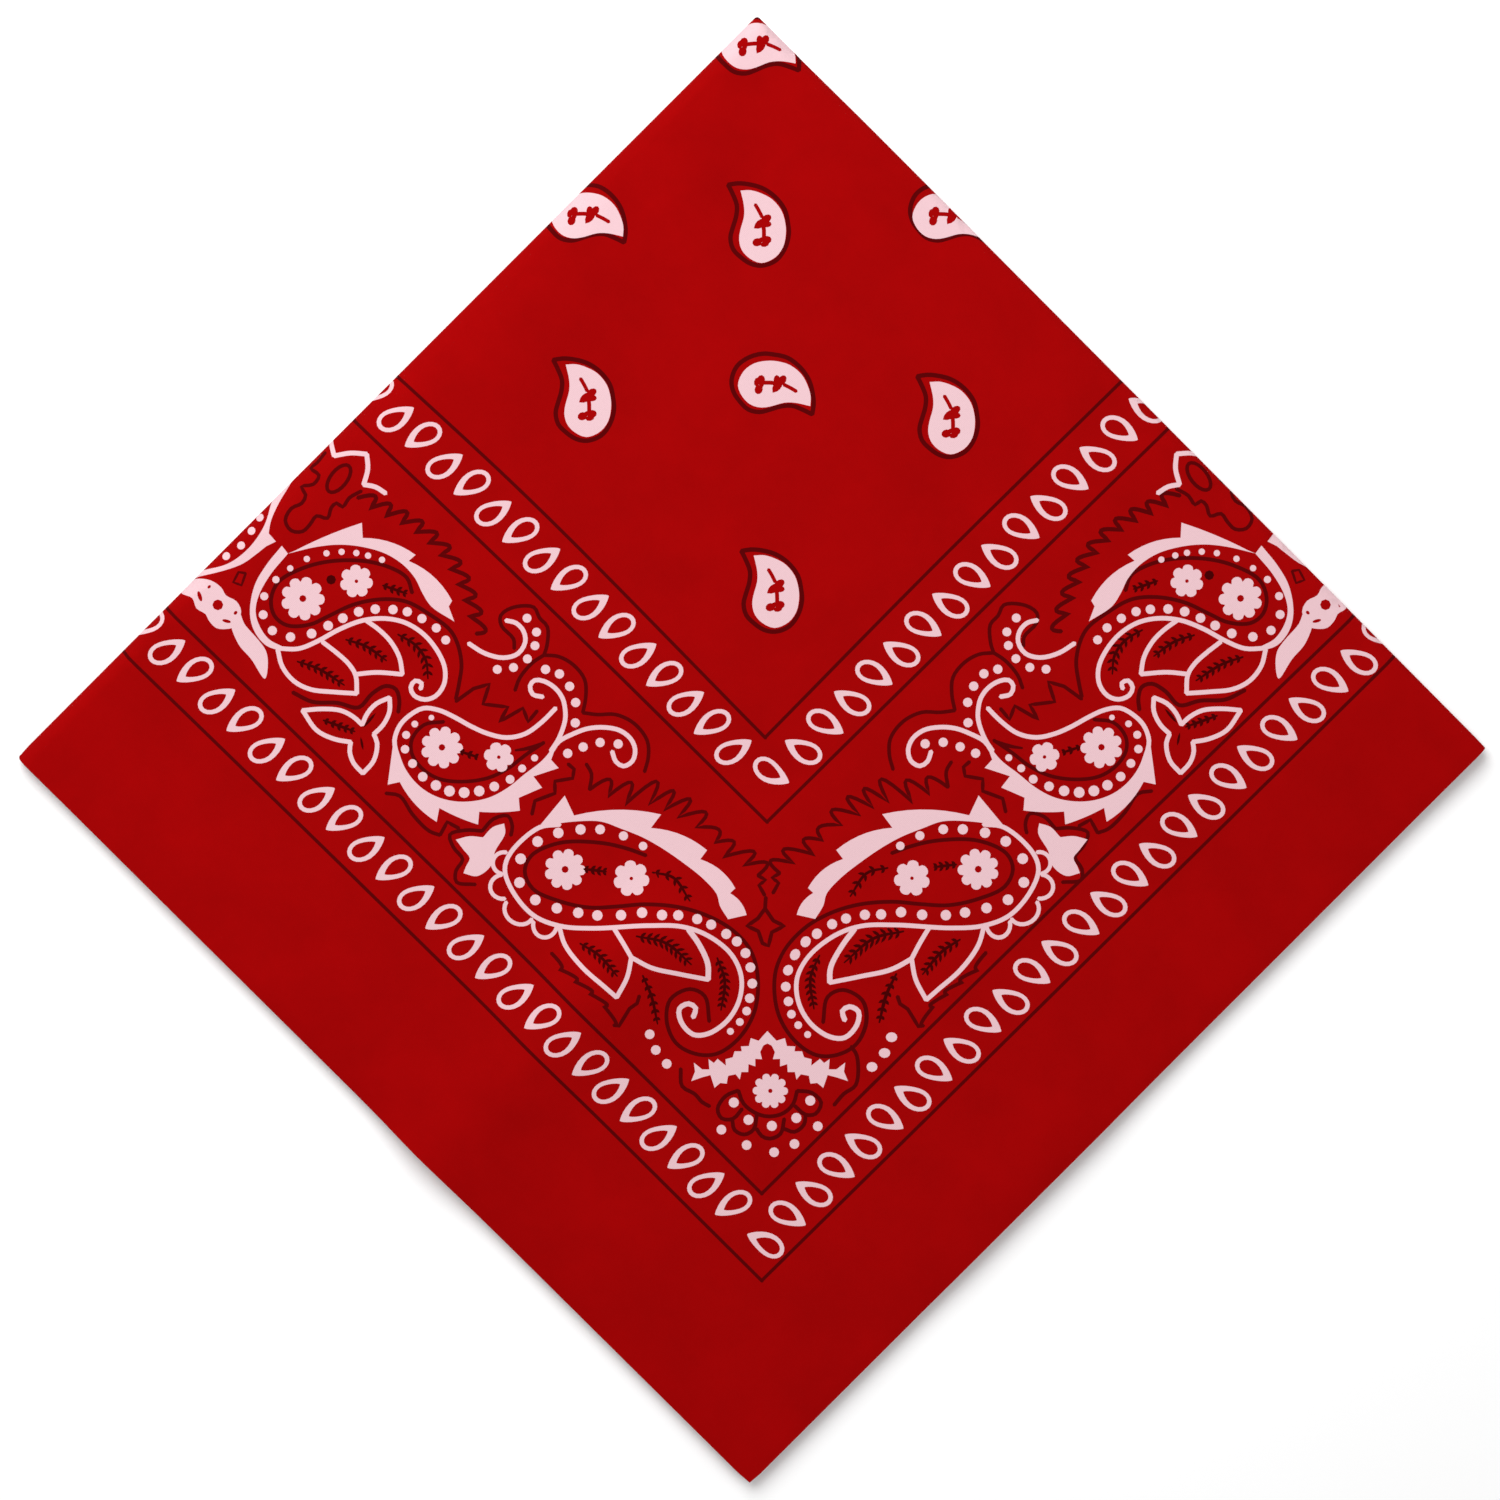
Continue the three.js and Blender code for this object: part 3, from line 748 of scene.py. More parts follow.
def cut_paisley(ink):
    """Part of a third paisley that runs into the fold, with the small forms beside it."""
    line = ink.sizes.print_line / MM
    ink.add(1, WHITE, np.vstack([
        smooth_curve([(-121.5, 73.5), (-123.4, 69.4), (-125.5, 65.6), (-127.6, 60.6), (-128.2, 57.2)], 1.2),
        straight([(-126.3, 55.0), (-128.8, 53.8)], 1.2),
        smooth_curve([(-130.8, 52.2), (-135, 49.2), (-140.5, 47.2), (-148, 45.6)], 1.2),
        smooth_curve([
            (-148, 47.2), (-139.4, 49.0), (-134.4, 52.4), (-130.9, 56.6), (-129, 60.3), (-127.9, 65.2),
            (-127, 74)], 1.2)]))
    ink.dots([(-130.8, 61.5), (-132.9, 57.9), (-135.6, 54), (-139.6, 51.2)], 1.1)
    ink.corners([(-134.3, 46.6), (-136.2, 46.9), (-137.6, 44.2), (-135.4, 43.4), (-134.3, 46.6)], 0.7)
    for points in (
        [(-112.6, 83.4), (-110.9, 77.8)], [(-110.9, 77.8), (-106.4, 78.5), (-102.2, 78.2)],
        [(-102.2, 78.2), (-101.9, 74.3), (-103, 70.1)], [(-103, 70.1), (-99.9, 69.5), (-97.2, 67.8)],
    ):
        ink.add(1, WHITE, stroke(smooth_curve(points), line * 1.05))
    ring = oval((-109.6, 71.7), 8.6, 4.4, math.radians(52), 20)
    ink.add(0, DARK, stroke(np.vstack([ring, ring[:2]]), 1.0))
    ink.dark([
        (-113.4, 78.8), (-115.6, 76), (-117.2, 74.6), (-114.9, 72.6), (-116.4, 70.2), (-119.6, 69.6),
        (-118.4, 67.4), (-119.4, 65.2), (-122.2, 63.8), (-123.8, 60.6), (-122.2, 57.9), (-119.2, 57.7),
        (-117.2, 59.6), (-115.5, 61.8), (-112.6, 61.2), (-111.6, 64), (-110.2, 65.2), (-108.6, 64.2),
        (-106.8, 66.6), (-103.6, 68.4)], 1.0)
    ink.add(0, DARK, stroke(leaning_arches([
        (-104.6, 66.6), (-98.5, 63.2), (-93.3, 60.8), (-86.9, 56.6), (-81.6, 51.2), (-78.4, 46), (-76.2, 41),
        (-74.3, 35.5), (-73.2, 30.6)], 11, 2.7), 1.15))


def lower_paisley(ink):
    """Small crested paisley with two hooked stems."""
    line = ink.sizes.print_line / MM
    ink.white([
        (-52.1, 10.8), (-55.7, 7.2), (-60.2, 4), (-65.1, 3), (-70, 4), (-74.4, 5.9), (-79.3, 8.6),
        (-83.2, 10.3), (-87.2, 10.8), (-90.6, 9.1), (-93.5, 6.2), (-94.9, 2.2), (-94.3, -1.4)], line)
    ink.add(1, WHITE, crest([
        (-94.2, 0.5), (-92.1, -5.1), (-89.1, -9.1), (-85.2, -12), (-80.3, -13.7), (-75.4, -14), (-70, -13),
        (-65.1, -10.5), (-60.2, -6.6), (-55.3, -2.7), (-51.3, 2.7)], (-95.2, 1.8), (
            ((-96.7, -9.5), 0, (-93.5, -8.8)), ((-83.7, -19.4), -1, (-83, -15.7)),
            ((-72.7, -20.1), -0.3, (-72.4, -16.7)), ((-61.6, -16.4), -0.3, (-61.9, -13)),
            ((-55.7, -10.3), 0, (-58, -7.3)), ((-51.3, -5.1), 0, (-53.3, -2.9)))))
    ink.dot_row((
        (-85.1, 8.3), (-89.5, 6.6), (-91.8, 3.7), (-92.1, -0.1), (-90.1, -3.9), (-87.4, -7.4),
        (-83.9, -9.7), (-80.3, -11.2), (-76.4, -11.6), (-72.4, -11.2), (-68.4, -10), (-64.2, -8.1),
        (-61, -5.2), (-57.7, -2.4)),
        (0.75, 1.1, 1.2, 1.45, 1.45, 1.2, 0.95))
    ink.flower((-82.3, 0.4), 5.6, 9, 0.9)
    ink.flower((-67.2, -2.2), 4.0, 6, 0.5)
    ink.white([
        (-53.4, -0.6), (-51.3, 2.7), (-49.6, 7.6), (-49.6, 10.6), (-50.3, 13.5), (-52.3, 16.2), (-55.3, 18),
        (-57.7, 18.2), (-58.9, 16.7), (-58.2, 14.5), (-55.5, 13.8)], line)
    ink.dots([(-46.9, 6.9), (-46.8, 12.3), (-48.4, 16.6), (-51.1, 19.9), (-54.8, 21.1)], 1.25)
    ink.white([
        (-53.3, -0.9), (-51.3, 1.9), (-47.4, 4), (-43.5, 5.4), (-39.1, 5.7), (-35.1, 4.9), (-32.2, 2.7),
        (-31, -0.2), (-31.7, -3.2), (-34.1, -4.6), (-36.1, -3.4), (-37.1, -0.7)], line)
    ink.dots([(-48.9, -1.2), (-44.8, 0.5), (-40.3, 1.7), (-35.5, 1.3)], 1.25)
    ink.white([
        (-75.2, 28), (-71, 25.4), (-66, 24.2), (-62.1, 25.3), (-60.2, 28.3), (-60.6, 31.2), (-62.6, 33.4),
        (-65.3, 34.1)], line)
    ink.dots([(-67.6, 21.1), (-63.3, 21.6), (-59.6, 23.9), (-57.6, 27.4), (-57.2, 31), (-59.7, 34.7)], 1.2)
    for points in (
        [
            (-63.1, 26.6), (-63.3, 29.2), (-66.5, 32.7), (-66.7, 35.4), (-63.6, 37.5), (-57.9, 37.6),
            (-56.4, 34.8), (-54.3, 32.4), (-54.4, 27.5), (-55.2, 24.9)],
        [(-55.2, 24.9), (-51.3, 24.5), (-47.4, 22.3), (-44.4, 18.4), (-44.1, 13.8), (-44.9, 9.6)],
        [(-44.9, 9.6), (-41, 9.1), (-36.1, 9.1), (-31.2, 6.7), (-27.8, 2.2), (-27.5, -2.2), (-28.5, -6.1)],
        [(-55.2, 24.9), (-58.2, 22.9), (-61.6, 18.9), (-62.9, 15.5)],
        [(-97.2, -11.8), (-93.5, -12.5), (-90.1, -17.4), (-85.7, -21.8), (-82.8, -22.9)],
        [(-81.8, 7.2), (-87, 6.4), (-90.2, 2.7), (-90.3, -1.2), (-87.7, -5.1), (-83.2, -7.9), (-76.9, -8.7),
         (-70, -7.7), (-64.6, -5.1), (-60.2, -1.7), (-55.2, 1.7)],
    ):
        ink.dark(points, 1.0)
    ink.corners([(-82.8, -22.9), (-80.9, -19.4), (-77.8, -21.1)])
    ink.corners([
        (-58.4, -17.4), (-57.6, -13.8), (-52.3, -11.8), (-52.3, -8.6), (-47.6, -7.8), (-47.2, -5.4),
        (-48.8, -4)])
    ink.corners([
        (-78.6, 12.6), (-73.9, 16), (-69.7, 17.2), (-71.4, 11.9), (-64.8, 11.1), (-67, 7.2), (-60.8, 10.8),
        (-59.4, 7.2), (-57, 10.1)])
    ink.vein([(-77.4, -0.7), (-72.8, -2.2)], 2, 1.1)
    ink.line(3, DARK, [(-62.8, -0.4), (-59.2, 0.2), (-55.4, 1.7)], (0.6, 1.1, 0.5))


def print_shapes(sizes):
    ink = Print(sizes)
    frame_lines(ink)
    drop_rows(ink)
    centre_field(ink)
    large_paisley(ink)
    corner_spray(ink)
    upper_paisley(ink)
    lower_paisley(ink)
    return ink.shapes()


# Cut of the printed face into triangles that follow the ink

# The cut fills its whole outline with triangles, and points nearer than this in millimetres become one
ALL_TRIANGLES = 0
MERGE_DISTANCE = 1e-5
# Width in millimetres that the bake map spans
MAP_SPAN = 400.0


def fold_stations(width, steps=6, even=4.0):
    """Distances from a fold: close together on its roll, then evenly to the open edge."""
    turn = np.linspace(0, math.pi / 2, steps + 1)
    roll = width * (1 - np.cos(turn))
    count = int((QUARTER - width) / even)
    return np.concatenate([roll, np.linspace(width, QUARTER, count + 1)[1:]])


def winding(points, shape):
    """True for each point inside a closed outline."""
    inside = np.zeros(len(points), dtype=int)
    x, y = points[:, 0], points[:, 1]
    for (x0, y0), (x1, y1) in zip(shape, np.roll(shape, -1, axis=0)):
        cross = (x1 - x0) * (y - y0) - (x - x0) * (y1 - y0)
        inside += ((y0 <= y) & (y1 > y) & (cross > 0)).astype(int)
        inside -= ((y0 > y) & (y1 <= y) & (cross < 0)).astype(int)
    return inside != 0


def border_points():
    """Border of the printed face, anticlockwise from above."""
    a, b = fold_stations(SECOND_FOLD["width"]), fold_stations(FIRST_FOLD["width"])
    loop = [(a[0], v) for v in b[:-1]] + [(u, b[-1]) for u in a[:-1]]
    loop += [(a[-1], v) for v in b[:0:-1]] + [(u, b[0]) for u in a[:0:-1]]
    return np.asarray(loop)


def inside_border(verts, faces, middle, loop, cut_edges, origins):
    """True for each triangle inside the border. Those along it are told by the way its edges run."""
    inside = winding(middle, loop)
    ahead = np.roll(loop, -1, axis=0) - loop
    forward = set()
    for (u, v), origin in zip(cut_edges, origins):
        own = [k for k in origin if k < len(loop)]
        if own:
            forward.add((v, u) if np.dot(verts[v] - verts[u], ahead[own[0]]) < 0 else (u, v))
    for k, (p, q, r) in enumerate(faces):
        for edge in ((p, q), (q, r), (r, p)):
            if edge in forward:
                inside[k] = True
            elif edge[::-1] in forward:
                inside[k] = False
    return inside


def cut_face(loop, grid, shapes):
    """Triangles of a face whose edges follow the ink, with the ink of each."""
    points = [loop]
    edges = [(k, (k + 1) % len(loop)) for k in range(len(loop))]
    count = len(loop)
    for _, shape in shapes:
        edges += [(count + k, count + (k + 1) % len(shape)) for k in range(len(shape))]
        points.append(shape)
        count += len(shape)
    points.append(grid)
    verts, cut_edges, faces, _, origins, _ = delaunay_2d_cdt(
        [tuple(p) for p in np.vstack(points)], edges, [], ALL_TRIANGLES, MERGE_DISTANCE)
    verts = np.asarray([tuple(v) for v in verts])
    faces = np.asarray(faces, dtype=int)
    middle = verts[faces].mean(axis=1)
    keep = inside_border(verts, faces, middle, loop, cut_edges, origins)
    faces, middle = faces[keep], middle[keep]
    inks = np.zeros(len(faces), dtype=int)
    for ink, shape in shapes:
        near = np.nonzero(((middle >= shape.min(axis=0)) & (middle <= shape.max(axis=0))).all(axis=1))[0]
        if len(near):
            inks[near[winding(middle[near], shape)]] = ink
    used = np.unique(faces)
    place = np.full(len(verts), -1)
    place[used] = np.arange(len(used))
    verts, faces = verts[used], place[faces]
    corner = verts[faces]
    area = np.cross(corner[:, 1] - corner[:, 0], corner[:, 2] - corner[:, 0])
    faces[area < 0] = faces[area < 0][:, ::-1]
    return verts, faces, inks


def border_loop(faces):
    """Ordered border of a triangulated face, anticlockwise."""
    edges = np.vstack([faces[:, [0, 1]], faces[:, [1, 2]], faces[:, [2, 0]]])
    have = set(map(tuple, edges))
    following = {int(u): int(v) for u, v in edges if (v, u) not in have}
    start = next(iter(following))
    loop = [start]
    while following[loop[-1]] != start:
        loop.append(following[loop[-1]])
    if len(loop) != len(following):
        raise RuntimeError("The border of the printed face is not one loop")
    return np.asarray(loop)


class Shell:
    """Closed mesh gathered from faces and bands."""

    def __init__(self):
        self.points, self.faces, self.inks, self.count = [], [], [], 0

    def add_points(self, points):
        self.points.append(points)
        self.count += len(points)
        return np.arange(self.count - len(points), self.count)

    def add_faces(self, faces, inks=RED):
        self.faces.append(faces)
        self.inks.append(np.broadcast_to(inks, len(faces)))

    def add_band(self, lower, upper):
        after, up_after = np.roll(lower, -1), np.roll(upper, -1)
        self.add_faces(np.stack([lower, after, up_after], axis=1))
        self.add_faces(np.stack([lower, up_after, upper], axis=1))

    def finish(self, name, materials):
        points = np.vstack(self.points)
        faces = np.vstack(self.faces)
        inks = np.concatenate(self.inks)
        corner = points[faces]
        across = np.cross(corner[:, 1] - corner[:, 0], corner[:, 2] - corner[:, 0])
        mesh = bpy.data.meshes.new(name)
        mesh.from_pydata((points * MM).tolist(), [], faces.tolist())
        for material in materials:
            mesh.materials.append(material)
        mesh.polygons.foreach_set("material_index", inks.astype(np.int32))
        mesh.polygons.foreach_set("use_smooth", np.ones(len(faces), dtype=bool))
        normals = np.zeros_like(points)
        for k in range(3):
            np.add.at(normals, faces[:, k], across)
        normals /= np.maximum(np.linalg.norm(normals, axis=1, keepdims=True), 1e-12)
        uv = mesh.uv_layers.new(name="OFBake")
        flat = points[faces.reshape(-1)][:, :2] / MAP_SPAN + 0.5
        uv.data.foreach_set("uv", flat.reshape(-1))
        mesh.update()
        mesh.normals_split_custom_set_from_vertices(normals.tolist())
        piece = bpy.data.objects.new(name, mesh)
        bpy.context.scene.collection.objects.link(piece)
        return piece


def inner_face(border_a, border_b):
    """Plain face that closes a shell: its border, then a coarse grid inside it."""
    a_steps = fold_stations(SECOND_FOLD["width"], steps=4, even=9.0)[1:-1]
    b_steps = fold_stations(FIRST_FOLD["width"], steps=4, even=9.0)[1:-1]
    a, b = (v.reshape(-1) for v in np.meshgrid(a_steps, b_steps))
    border = plan(border_a, border_b)
    inside = winding(plan(a, b), border)
    a, b = a[inside], b[inside]
    verts, faces, _ = cut_face(border, plan(a, b), [])
    if len(verts) != len(border) + len(a):
        raise RuntimeError("The inner face lost a point")
    return verts, faces


# Materials

# Share of the cloth's slack in its relief, beside the weave
SLACK_SHARE = 0.9
# Shade of the black ink of the veins, as a share of the other dark ink
VEIN_SHADE = 0.6


def set_values(node, values):
    for socket, value in values.items():
        node.inputs[socket].default_value = value


def add_node(material, kind, values, feed=None):
    """Node with its constant values and, if it has one, the coordinates that feed it."""
    node = material.node_tree.nodes.new(kind)
    set_values(node, values)
    if feed:
        material.node_tree.links.new(feed, node.inputs["Vector"])
    return node


def cotton(name, colour, roughness, sheen, thread, weave_depth, mottling):
    """Matt plain-woven cotton. Mottling is how unevenly it took the dye."""
    material = bpy.data.materials.new(name)
    material.use_nodes = True
    links = material.node_tree.links
    shader = material.node_tree.nodes["Principled BSDF"]
    set_values(shader, {
        "Base Color": (*colour, 1.0),
        "Roughness": roughness,
        "Specular IOR Level": 0.01,
        "Sheen Weight": sheen,
        "Sheen Roughness": 0.5,
        "Sheen Tint": (*[share ** 0.7 for share in colour], 1.0),
    })
    place = add_node(material, "ShaderNodeTexCoord", {}).outputs["Object"]
    along_sides = {"Rotation": (0.0, 0.0, math.radians(45.0))}
    turned = add_node(material, "ShaderNodeMapping", along_sides, place).outputs["Vector"]
    weave = add_node(material, "ShaderNodeMath", {})
    weave.operation = "MULTIPLY"
    threads = {"Scale": math.pi / 10.0 / thread, "Distortion": 0.6, "Detail": 1.0, "Detail Scale": 1.5}
    for way, direction in enumerate(("X", "Y")):
        wave = add_node(material, "ShaderNodeTexWave", threads, turned)
        wave.wave_type = "BANDS"
        wave.bands_direction = direction
        links.new(wave.outputs["Fac"], weave.inputs[way])
    slack = add_node(material, "ShaderNodeTexNoise", {"Scale": 260.0, "Detail": 3.0}, place)
    height = add_node(material, "ShaderNodeMath", {1: SLACK_SHARE})
    height.operation = "MULTIPLY_ADD"
    links.new(slack.outputs["Fac"], height.inputs[0])
    links.new(weave.outputs["Value"], height.inputs[2])
    relief = add_node(material, "ShaderNodeBump", {"Strength": 0.35, "Distance": weave_depth})
    links.new(height.outputs["Value"], relief.inputs["Height"])
    links.new(relief.outputs["Normal"], shader.inputs["Normal"])
    if mottling > 0.0:
        dye = {"Scale": 55.0, "Detail": 4.0, "Roughness": 0.6}
        cloud = add_node(material, "ShaderNodeTexNoise", dye, turned)
        tone = add_node(material, "ShaderNodeValToRGB", {})
        for stop, position, sign in zip(tone.color_ramp.elements, (0.3, 0.7), (-1, 1)):
            stop.position = position
            stop.color = (*[c * (1 + sign * mottling) for c in colour], 1.0)
        links.new(cloud.outputs["Fac"], tone.inputs["Fac"])
        links.new(tone.outputs["Color"], shader.inputs["Base Color"])
    return material


def cloth_materials(cloth):
    """The dyed cotton and its three inks, made once and in the order of their numbers."""
    if "cotton_red" in bpy.data.materials:
        return [bpy.data.materials[name] for name in ("cotton_red", "ink_white", "ink_dark", "ink_black")]
    inks = {
        "ink_white": cloth.white,
        "ink_dark": cloth.dark,
        "ink_black": [share * VEIN_SHADE for share in cloth.dark],
    }
    red = cotton("cotton_red", cloth.red, 0.9, 0.05, cloth.thread, 0.00012, 0.06)
    return [red] + [cotton(name, ink, 0.85, 0.02, cloth.thread, 0.00009, 0.0) for name, ink in inks.items()]


# Settings

def metres(name, description, default, least, most):
    return bpy.props.FloatProperty(
        name=name, description=description, default=default, min=least, max=most,
        subtype="DISTANCE", unit="LENGTH", precision=5)


def tint(name, description, default):
    return bpy.props.FloatVectorProperty(
        name=name, description=description, default=default, size=3, min=0.0, max=1.0, subtype="COLOR")


class BandanaCloth(bpy.types.PropertyGroup):
    thickness: metres("Cloth thickness", "Thickness of one layer of cotton", 0.00035, 0.0001, 0.001)
    thread: metres("Thread pitch", "Distance from one thread of the weave to the next", 0.0004, 0.0002, 0.002)
    red: tint("Dyed red", "Colour of the dyed cotton", (0.3, 0.0012, 0.0015))
    white: tint("White ink", "Colour of the discharged white lines", (0.705, 0.47, 0.505))
    dark: tint("Black ink", "Colour of the black ink over the red", (0.085, 0.0012, 0.0018))


class BandanaPrint(bpy.types.PropertyGroup):
    print_line: metres("White line", "Width of the white lines of the paisleys", 0.0012, 0.0003, 0.005)
    frame_line: metres("Frame line", "Width of the thin lines along the band", 0.0009, 0.0003, 0.005)
    drop_length: metres("Drop length", "Length of a drop in the border rows", 0.0108, 0.004, 0.03)
    drop_width: metres("Drop width", "Width of a drop in the border rows", 0.0064, 0.002, 0.03)
    drop_line: metres("Drop line", "Width of the white line round a drop", 0.0012, 0.0003, 0.005)


class BandanaStudio(bpy.types.PropertyGroup):
    lens: bpy.props.FloatProperty(
        name="Lens", description="Focal length of the camera in millimetres",
        default=100.0, min=20.0, max=300.0)
    view_width: metres("Width in view", "Width of table that the camera takes in", 0.3982, 0.1, 2.0)
    table: tint("Table colour", "Colour of the pale table top", (0.98, 0.98, 0.98))


# Pieces

_cut = {}


def printed_cut():
    """Plan of the printed face, cut once and used for the face that shows and the one underneath."""
    if "face" not in _cut:
        border = border_points()
        a, b = (v.reshape(-1) for v in np.meshgrid(
            fold_stations(SECOND_FOLD["width"])[1:-1], fold_stations(FIRST_FOLD["width"])[1:-1]))
        shapes = print_shapes(bpy.context.scene.bandana_print)
        _cut["face"] = cut_face(plan(border[:, 0], border[:, 1]), plan(a, b), shapes)
    return _cut["face"]


def add_inner_face(shell, border_a, border_b, inset, lowest_rim=0.0):
    """Points and triangles of a plain face under the cloth's upper side, with its border's points first."""
    flat, faces = inner_face(border_a, border_b)
    a, b = fold_distances(flat)
    a[:len(border_a)], b[:len(border_b)] = border_a, border_b
    points = shell.add_points(np.column_stack([flat, face_height(a, b, inset, lowest_rim)]))
    return points, faces + points[0]


def build_front():
    cloth = bpy.context.scene.bandana_cloth
    thick = cloth.thickness / MM
    verts, faces, inks = printed_cut()
    loop = border_loop(faces)
    a, b = fold_distances(verts)
    shell = Shell()
    upper = shell.add_points(np.column_stack([verts, face_height(a, b)]))
    shell.add_faces(faces, inks)
    span = (QUARTER - thick) / QUARTER
    in_a, in_b = thick + a[loop] * span, thick + b[loop] * span
    in_a = np.where(a[loop] > QUARTER / 2, a[loop], in_a)
    in_b = np.where(b[loop] > QUARTER / 2, b[loop], in_b)
    lower, under = add_inner_face(shell, in_a, in_b, thick)
    shell.add_faces(under[:, ::-1])
    shell.add_band(lower[:len(loop)], upper[loop])
    piece = shell.finish("front_cloth", cloth_materials(cloth))
    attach(piece, "root")
    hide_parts("front_panel")
    return piece


# Edge of the hidden layers from the table up: height share, then how far it stands back from the
# open sides, the first fold and the second fold
LAYER_ROWS = (
    (0.03, 0.75, 0.5, 1.0),
    (0.13, 0.7, 0.2, 0.8),
    (0.17, 1.3, 0.1, 0.75),
    (0.19, 5.5, 0.05, 0.75),
    (0.27, 5.5, 0.0, 0.7),
    (0.29, 2.2, 0.0, 0.7),
    (0.31, 1.6, 0.0, 0.7),
    (0.42, 1.5, 0.05, 0.7),
    (0.45, 2.1, 0.1, 0.65),
    (0.47, 5.5, 0.15, 0.65),
    (0.60, 5.5, 0.3, 0.65),
    (0.62, 1.5, 0.35, 0.62),
    (0.64, 0.9, 0.4, 0.62),
    (0.75, 0.8, 0.6, 0.6),
    (0.78, 1.4, 0.7, 0.6),
    (0.80, 5.5, 0.8, 0.6),
)
# How far the underside stands back, and the top of the layers from the open sides and the front cloth
UNDERSIDE_BACK = {"second": 1.2, "first": 0.9, "open": 0.75}
TOP_BACK = 5.5
FACE_CLEARANCE = 0.25
# Least height of that top at the folds, and how far slow waves move the layers' edges
LOWEST_RIM = 0.6
EDGE_WAVE = 0.45
# Step of the waves' phase after every four rows, so that each layer waves on its own
ROWS_IN_STEP = 4
PHASE_STEP = 2.1


def layer_wave(a, b, phase):
    """Slow unevenness of a layer's edge along its length."""
    run = a + b
    return 0.5 * np.sin(run * 0.071 + phase) + 0.3 * np.sin(run * 0.163 + 2.3 * phase)


def build_layers():
    cloth = bpy.context.scene.bandana_cloth
    verts, faces, inks = printed_cut()
    loop = border_loop(faces)
    a, b = fold_distances(verts)
    second, first, open_back = (UNDERSIDE_BACK[side] for side in ("second", "first", "open"))
    base_a = second + a * (QUARTER - second - open_back) / QUARTER
    base_b = first + b * (QUARTER - first - open_back) / QUARTER
    base = plan(base_a, base_b)
    shell = Shell()
    ring = shell.add_points(np.column_stack([base, np.zeros(len(base))]))
    shell.add_faces(faces[:, ::-1], inks)
    gap = cloth.thickness / MM + FACE_CLEARANCE
    share_a, share_b = a[loop] / QUARTER, b[loop] / QUARTER
    top_a = gap + (QUARTER - TOP_BACK - gap) * share_a
    top_b = gap + (QUARTER - TOP_BACK - gap) * share_b
    top_z = face_height(top_a, top_b, gap, LOWEST_RIM)
    lower = ring[loop]
    for k, (height, open_back, first, second) in enumerate(LAYER_ROWS):
        wave = layer_wave(a[loop], b[loop], k // ROWS_IN_STEP * PHASE_STEP)
        open_here = open_back + (EDGE_WAVE * wave if open_back < TOP_BACK else 0.0)
        row_a = second + (QUARTER - open_here - second) * share_a
        first_here = second + (first - second) * pair_share(row_a)
        row_b = first_here + (QUARTER - open_here - first_here) * share_b
        row = shell.add_points(np.column_stack([plan(row_a, row_b), height * top_z]))
        shell.add_band(lower, row)
        lower = row
    top, top_faces = add_inner_face(shell, top_a, top_b, gap, LOWEST_RIM)
    shell.add_faces(top_faces)
    shell.add_band(lower, top[:len(loop)])
    piece = shell.finish("hidden_layers", cloth_materials(cloth))
    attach(piece, "root")
    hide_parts("folded_layers")
    return piece


TABLE_SIZE = 6.0
# Soft lamps: name, place in metres, width in metres and power in watts
LAMPS = (
    ("window_light", (-0.27, 0.55, 0.78), 0.9, 10.0),
    ("fill_light", (0.6, -0.2, 1.6), 1.8, 5.2),
)
AIR_GLOW = 0.42
# Camera: width of its film in millimetres, its place off the middle and the cloth's height, in metres
FILM_WIDTH = 36.0
EYE_ASIDE = (-0.0005, -0.0003)
CLOTH_TOP = 0.0045


def add_lamp(name, place, size, power):
    """Round soft lamp that shines at the middle of the table."""
    light = bpy.data.lights.new(name, "AREA")
    light.shape = "DISK"
    light.size = size
    light.energy = power
    lamp = bpy.data.objects.new(name, light)
    bpy.context.scene.collection.objects.link(lamp)
    lamp.location = place
    lamp.rotation_euler = (-Vector(place)).to_track_quat("-Z", "Y").to_euler()


def build_stage():
    scene = bpy.context.scene
    studio = scene.bandana_studio
    bpy.ops.mesh.primitive_plane_add(size=TABLE_SIZE, location=(0.0, 0.0, 0.0))
    table = bpy.context.object
    table.name = "table_top"
    material = bpy.data.materials.new("pale_table")
    material.use_nodes = True
    shader = material.node_tree.nodes["Principled BSDF"]
    set_values(shader, {"Base Color": (*studio.table, 1.0), "Roughness": 0.9})
    table.data.materials.append(material)
    for lamp in LAMPS:
        add_lamp(*lamp)
    world = bpy.data.worlds.new("studio_air")
    world.use_nodes = True
    set_values(world.node_tree.nodes["Background"], {"Color": (1.0, 1.0, 1.0, 1.0), "Strength": AIR_GLOW})
    scene.world = world
    camera = bpy.data.cameras.new("camera")
    camera.lens = studio.lens
    camera.sensor_width = FILM_WIDTH
    eye = bpy.data.objects.new("camera", camera)
    scene.collection.objects.link(eye)
    eye.location = (*EYE_ASIDE, studio.view_width * studio.lens / FILM_WIDTH + CLOTH_TOP)
    scene.camera = eye
    scene.view_settings.view_transform = "Standard"
    scene.view_settings.look = "None"


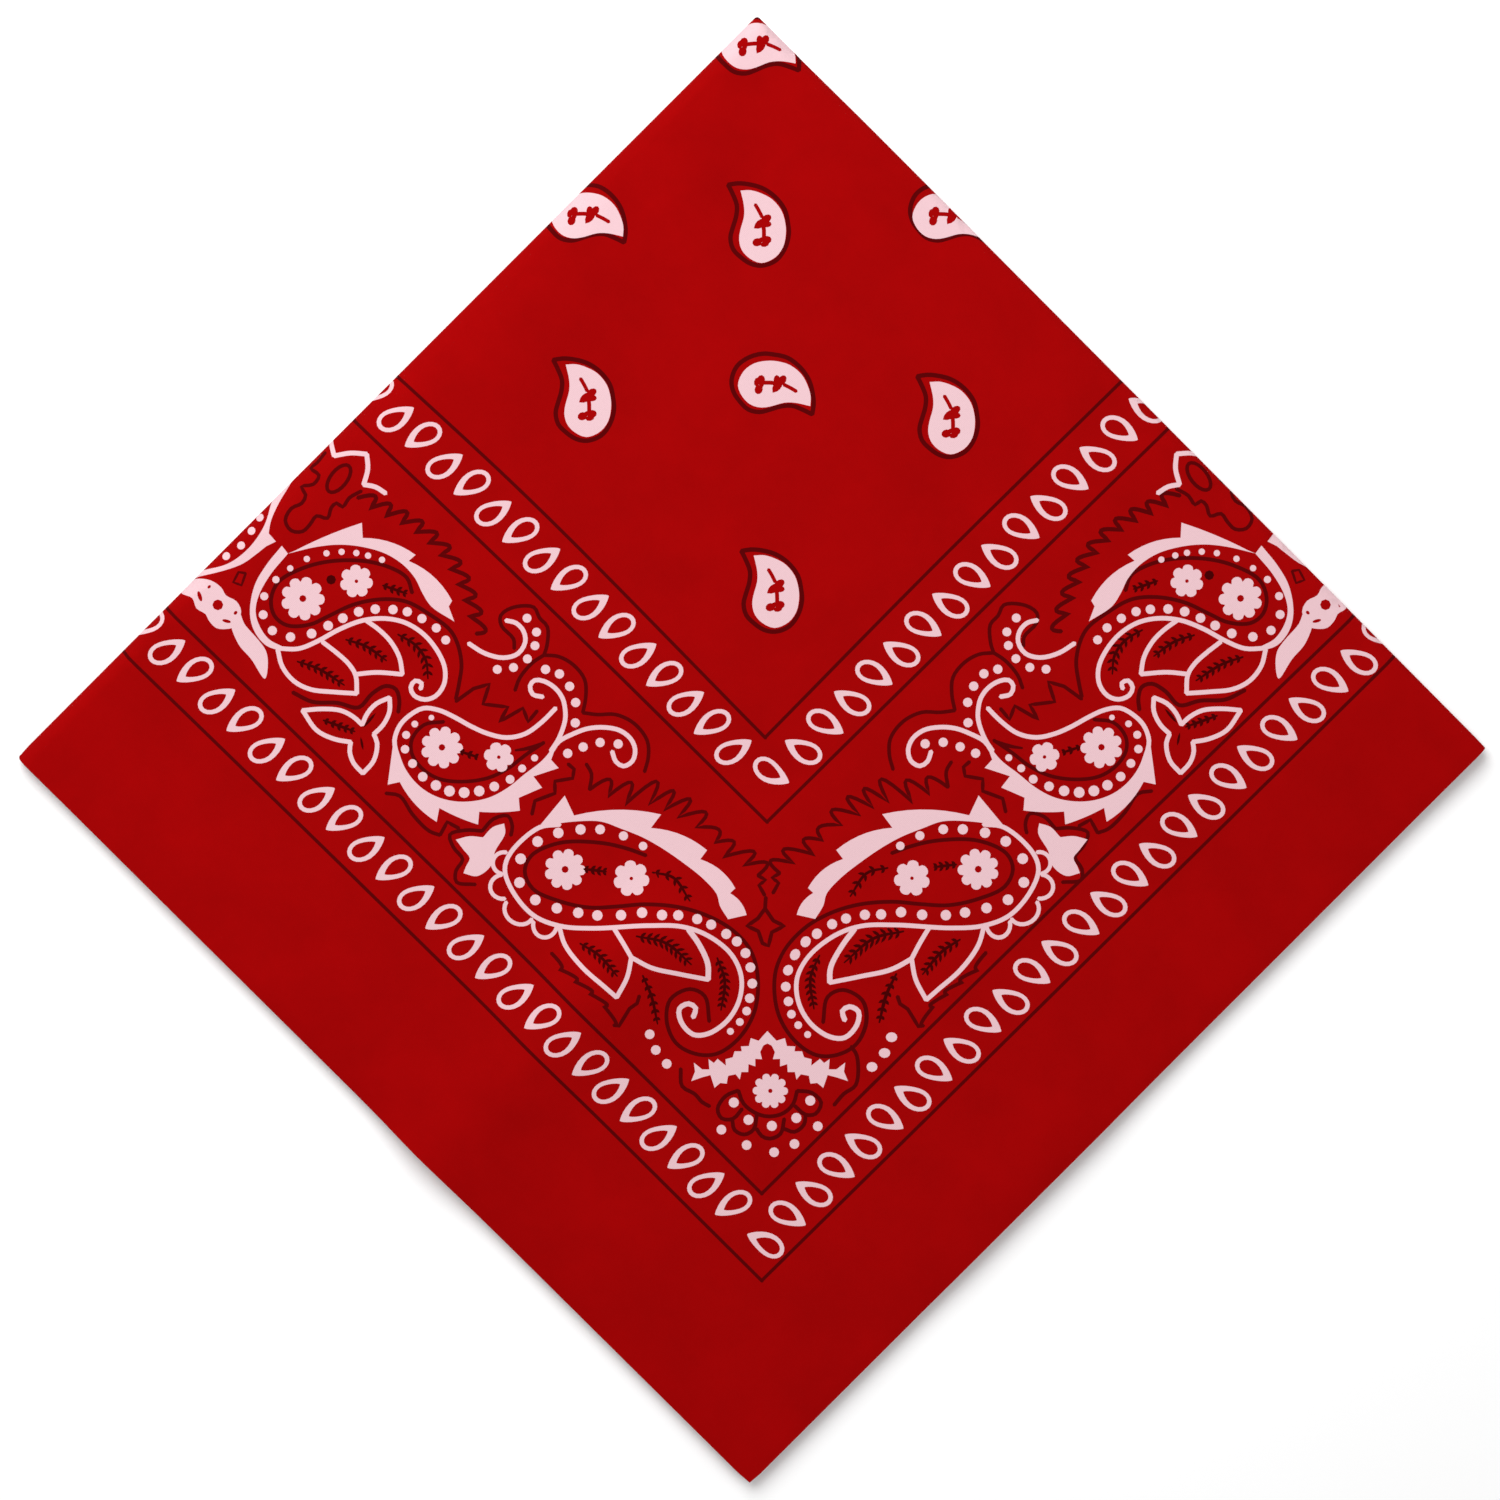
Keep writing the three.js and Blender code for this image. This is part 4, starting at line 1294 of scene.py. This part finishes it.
class OBJECT_OT_bandana_stage(bpy.types.Operator):
    """Lay a pale table, soft light and the camera"""
    bl_idname = "bandana.stage"
    bl_label = "Table, light and camera"

    def execute(self, context):
        build_stage()
        return {"FINISHED"}


class OBJECT_OT_bandana_layers(bpy.types.Operator):
    """Build the three hidden layers with their edges and the printed underside"""
    bl_idname = "bandana.layers"
    bl_label = "Hidden layers"

    def execute(self, context):
        build_layers()
        return {"FINISHED"}


class OBJECT_OT_bandana_front(bpy.types.Operator):
    """Build the printed quarter that shows"""
    bl_idname = "bandana.front"
    bl_label = "Front cloth"

    def execute(self, context):
        piece = build_front()
        return {"FINISHED"}


class VIEW3D_PT_bandana(bpy.types.Panel):
    bl_label = "Folded bandana"
    bl_idname = "VIEW3D_PT_bandana"
    bl_space_type = "VIEW_3D"
    bl_region_type = "UI"
    bl_category = "Bandana"

    def draw(self, context):
        layout, scene = self.layout, context.scene
        for settings in (scene.bandana_cloth, scene.bandana_print, scene.bandana_studio):
            box = layout.box()
            for name in settings.__annotations__:
                box.prop(settings, name)
        for operator in (OBJECT_OT_bandana_stage, OBJECT_OT_bandana_layers, OBJECT_OT_bandana_front):
            layout.operator(operator.bl_idname)


CLASSES = (
    BandanaCloth, BandanaPrint, BandanaStudio, OBJECT_OT_bandana_stage, OBJECT_OT_bandana_layers,
    OBJECT_OT_bandana_front, VIEW3D_PT_bandana,
)


def register():
    for cls in CLASSES:
        bpy.utils.register_class(cls)
    bpy.types.Scene.bandana_cloth = bpy.props.PointerProperty(type=BandanaCloth)
    bpy.types.Scene.bandana_print = bpy.props.PointerProperty(type=BandanaPrint)
    bpy.types.Scene.bandana_studio = bpy.props.PointerProperty(type=BandanaStudio)


def unregister():
    del bpy.types.Scene.bandana_studio
    del bpy.types.Scene.bandana_print
    del bpy.types.Scene.bandana_cloth
    for cls in reversed(CLASSES):
        bpy.utils.unregister_class(cls)


def main():
    register()
    for chosen in list(bpy.context.selected_objects):
        chosen.select_set(False)
    bpy.ops.bandana.stage()
    bpy.ops.bandana.layers()
    bpy.ops.bandana.front()


if __name__ == "__main__":
    main()
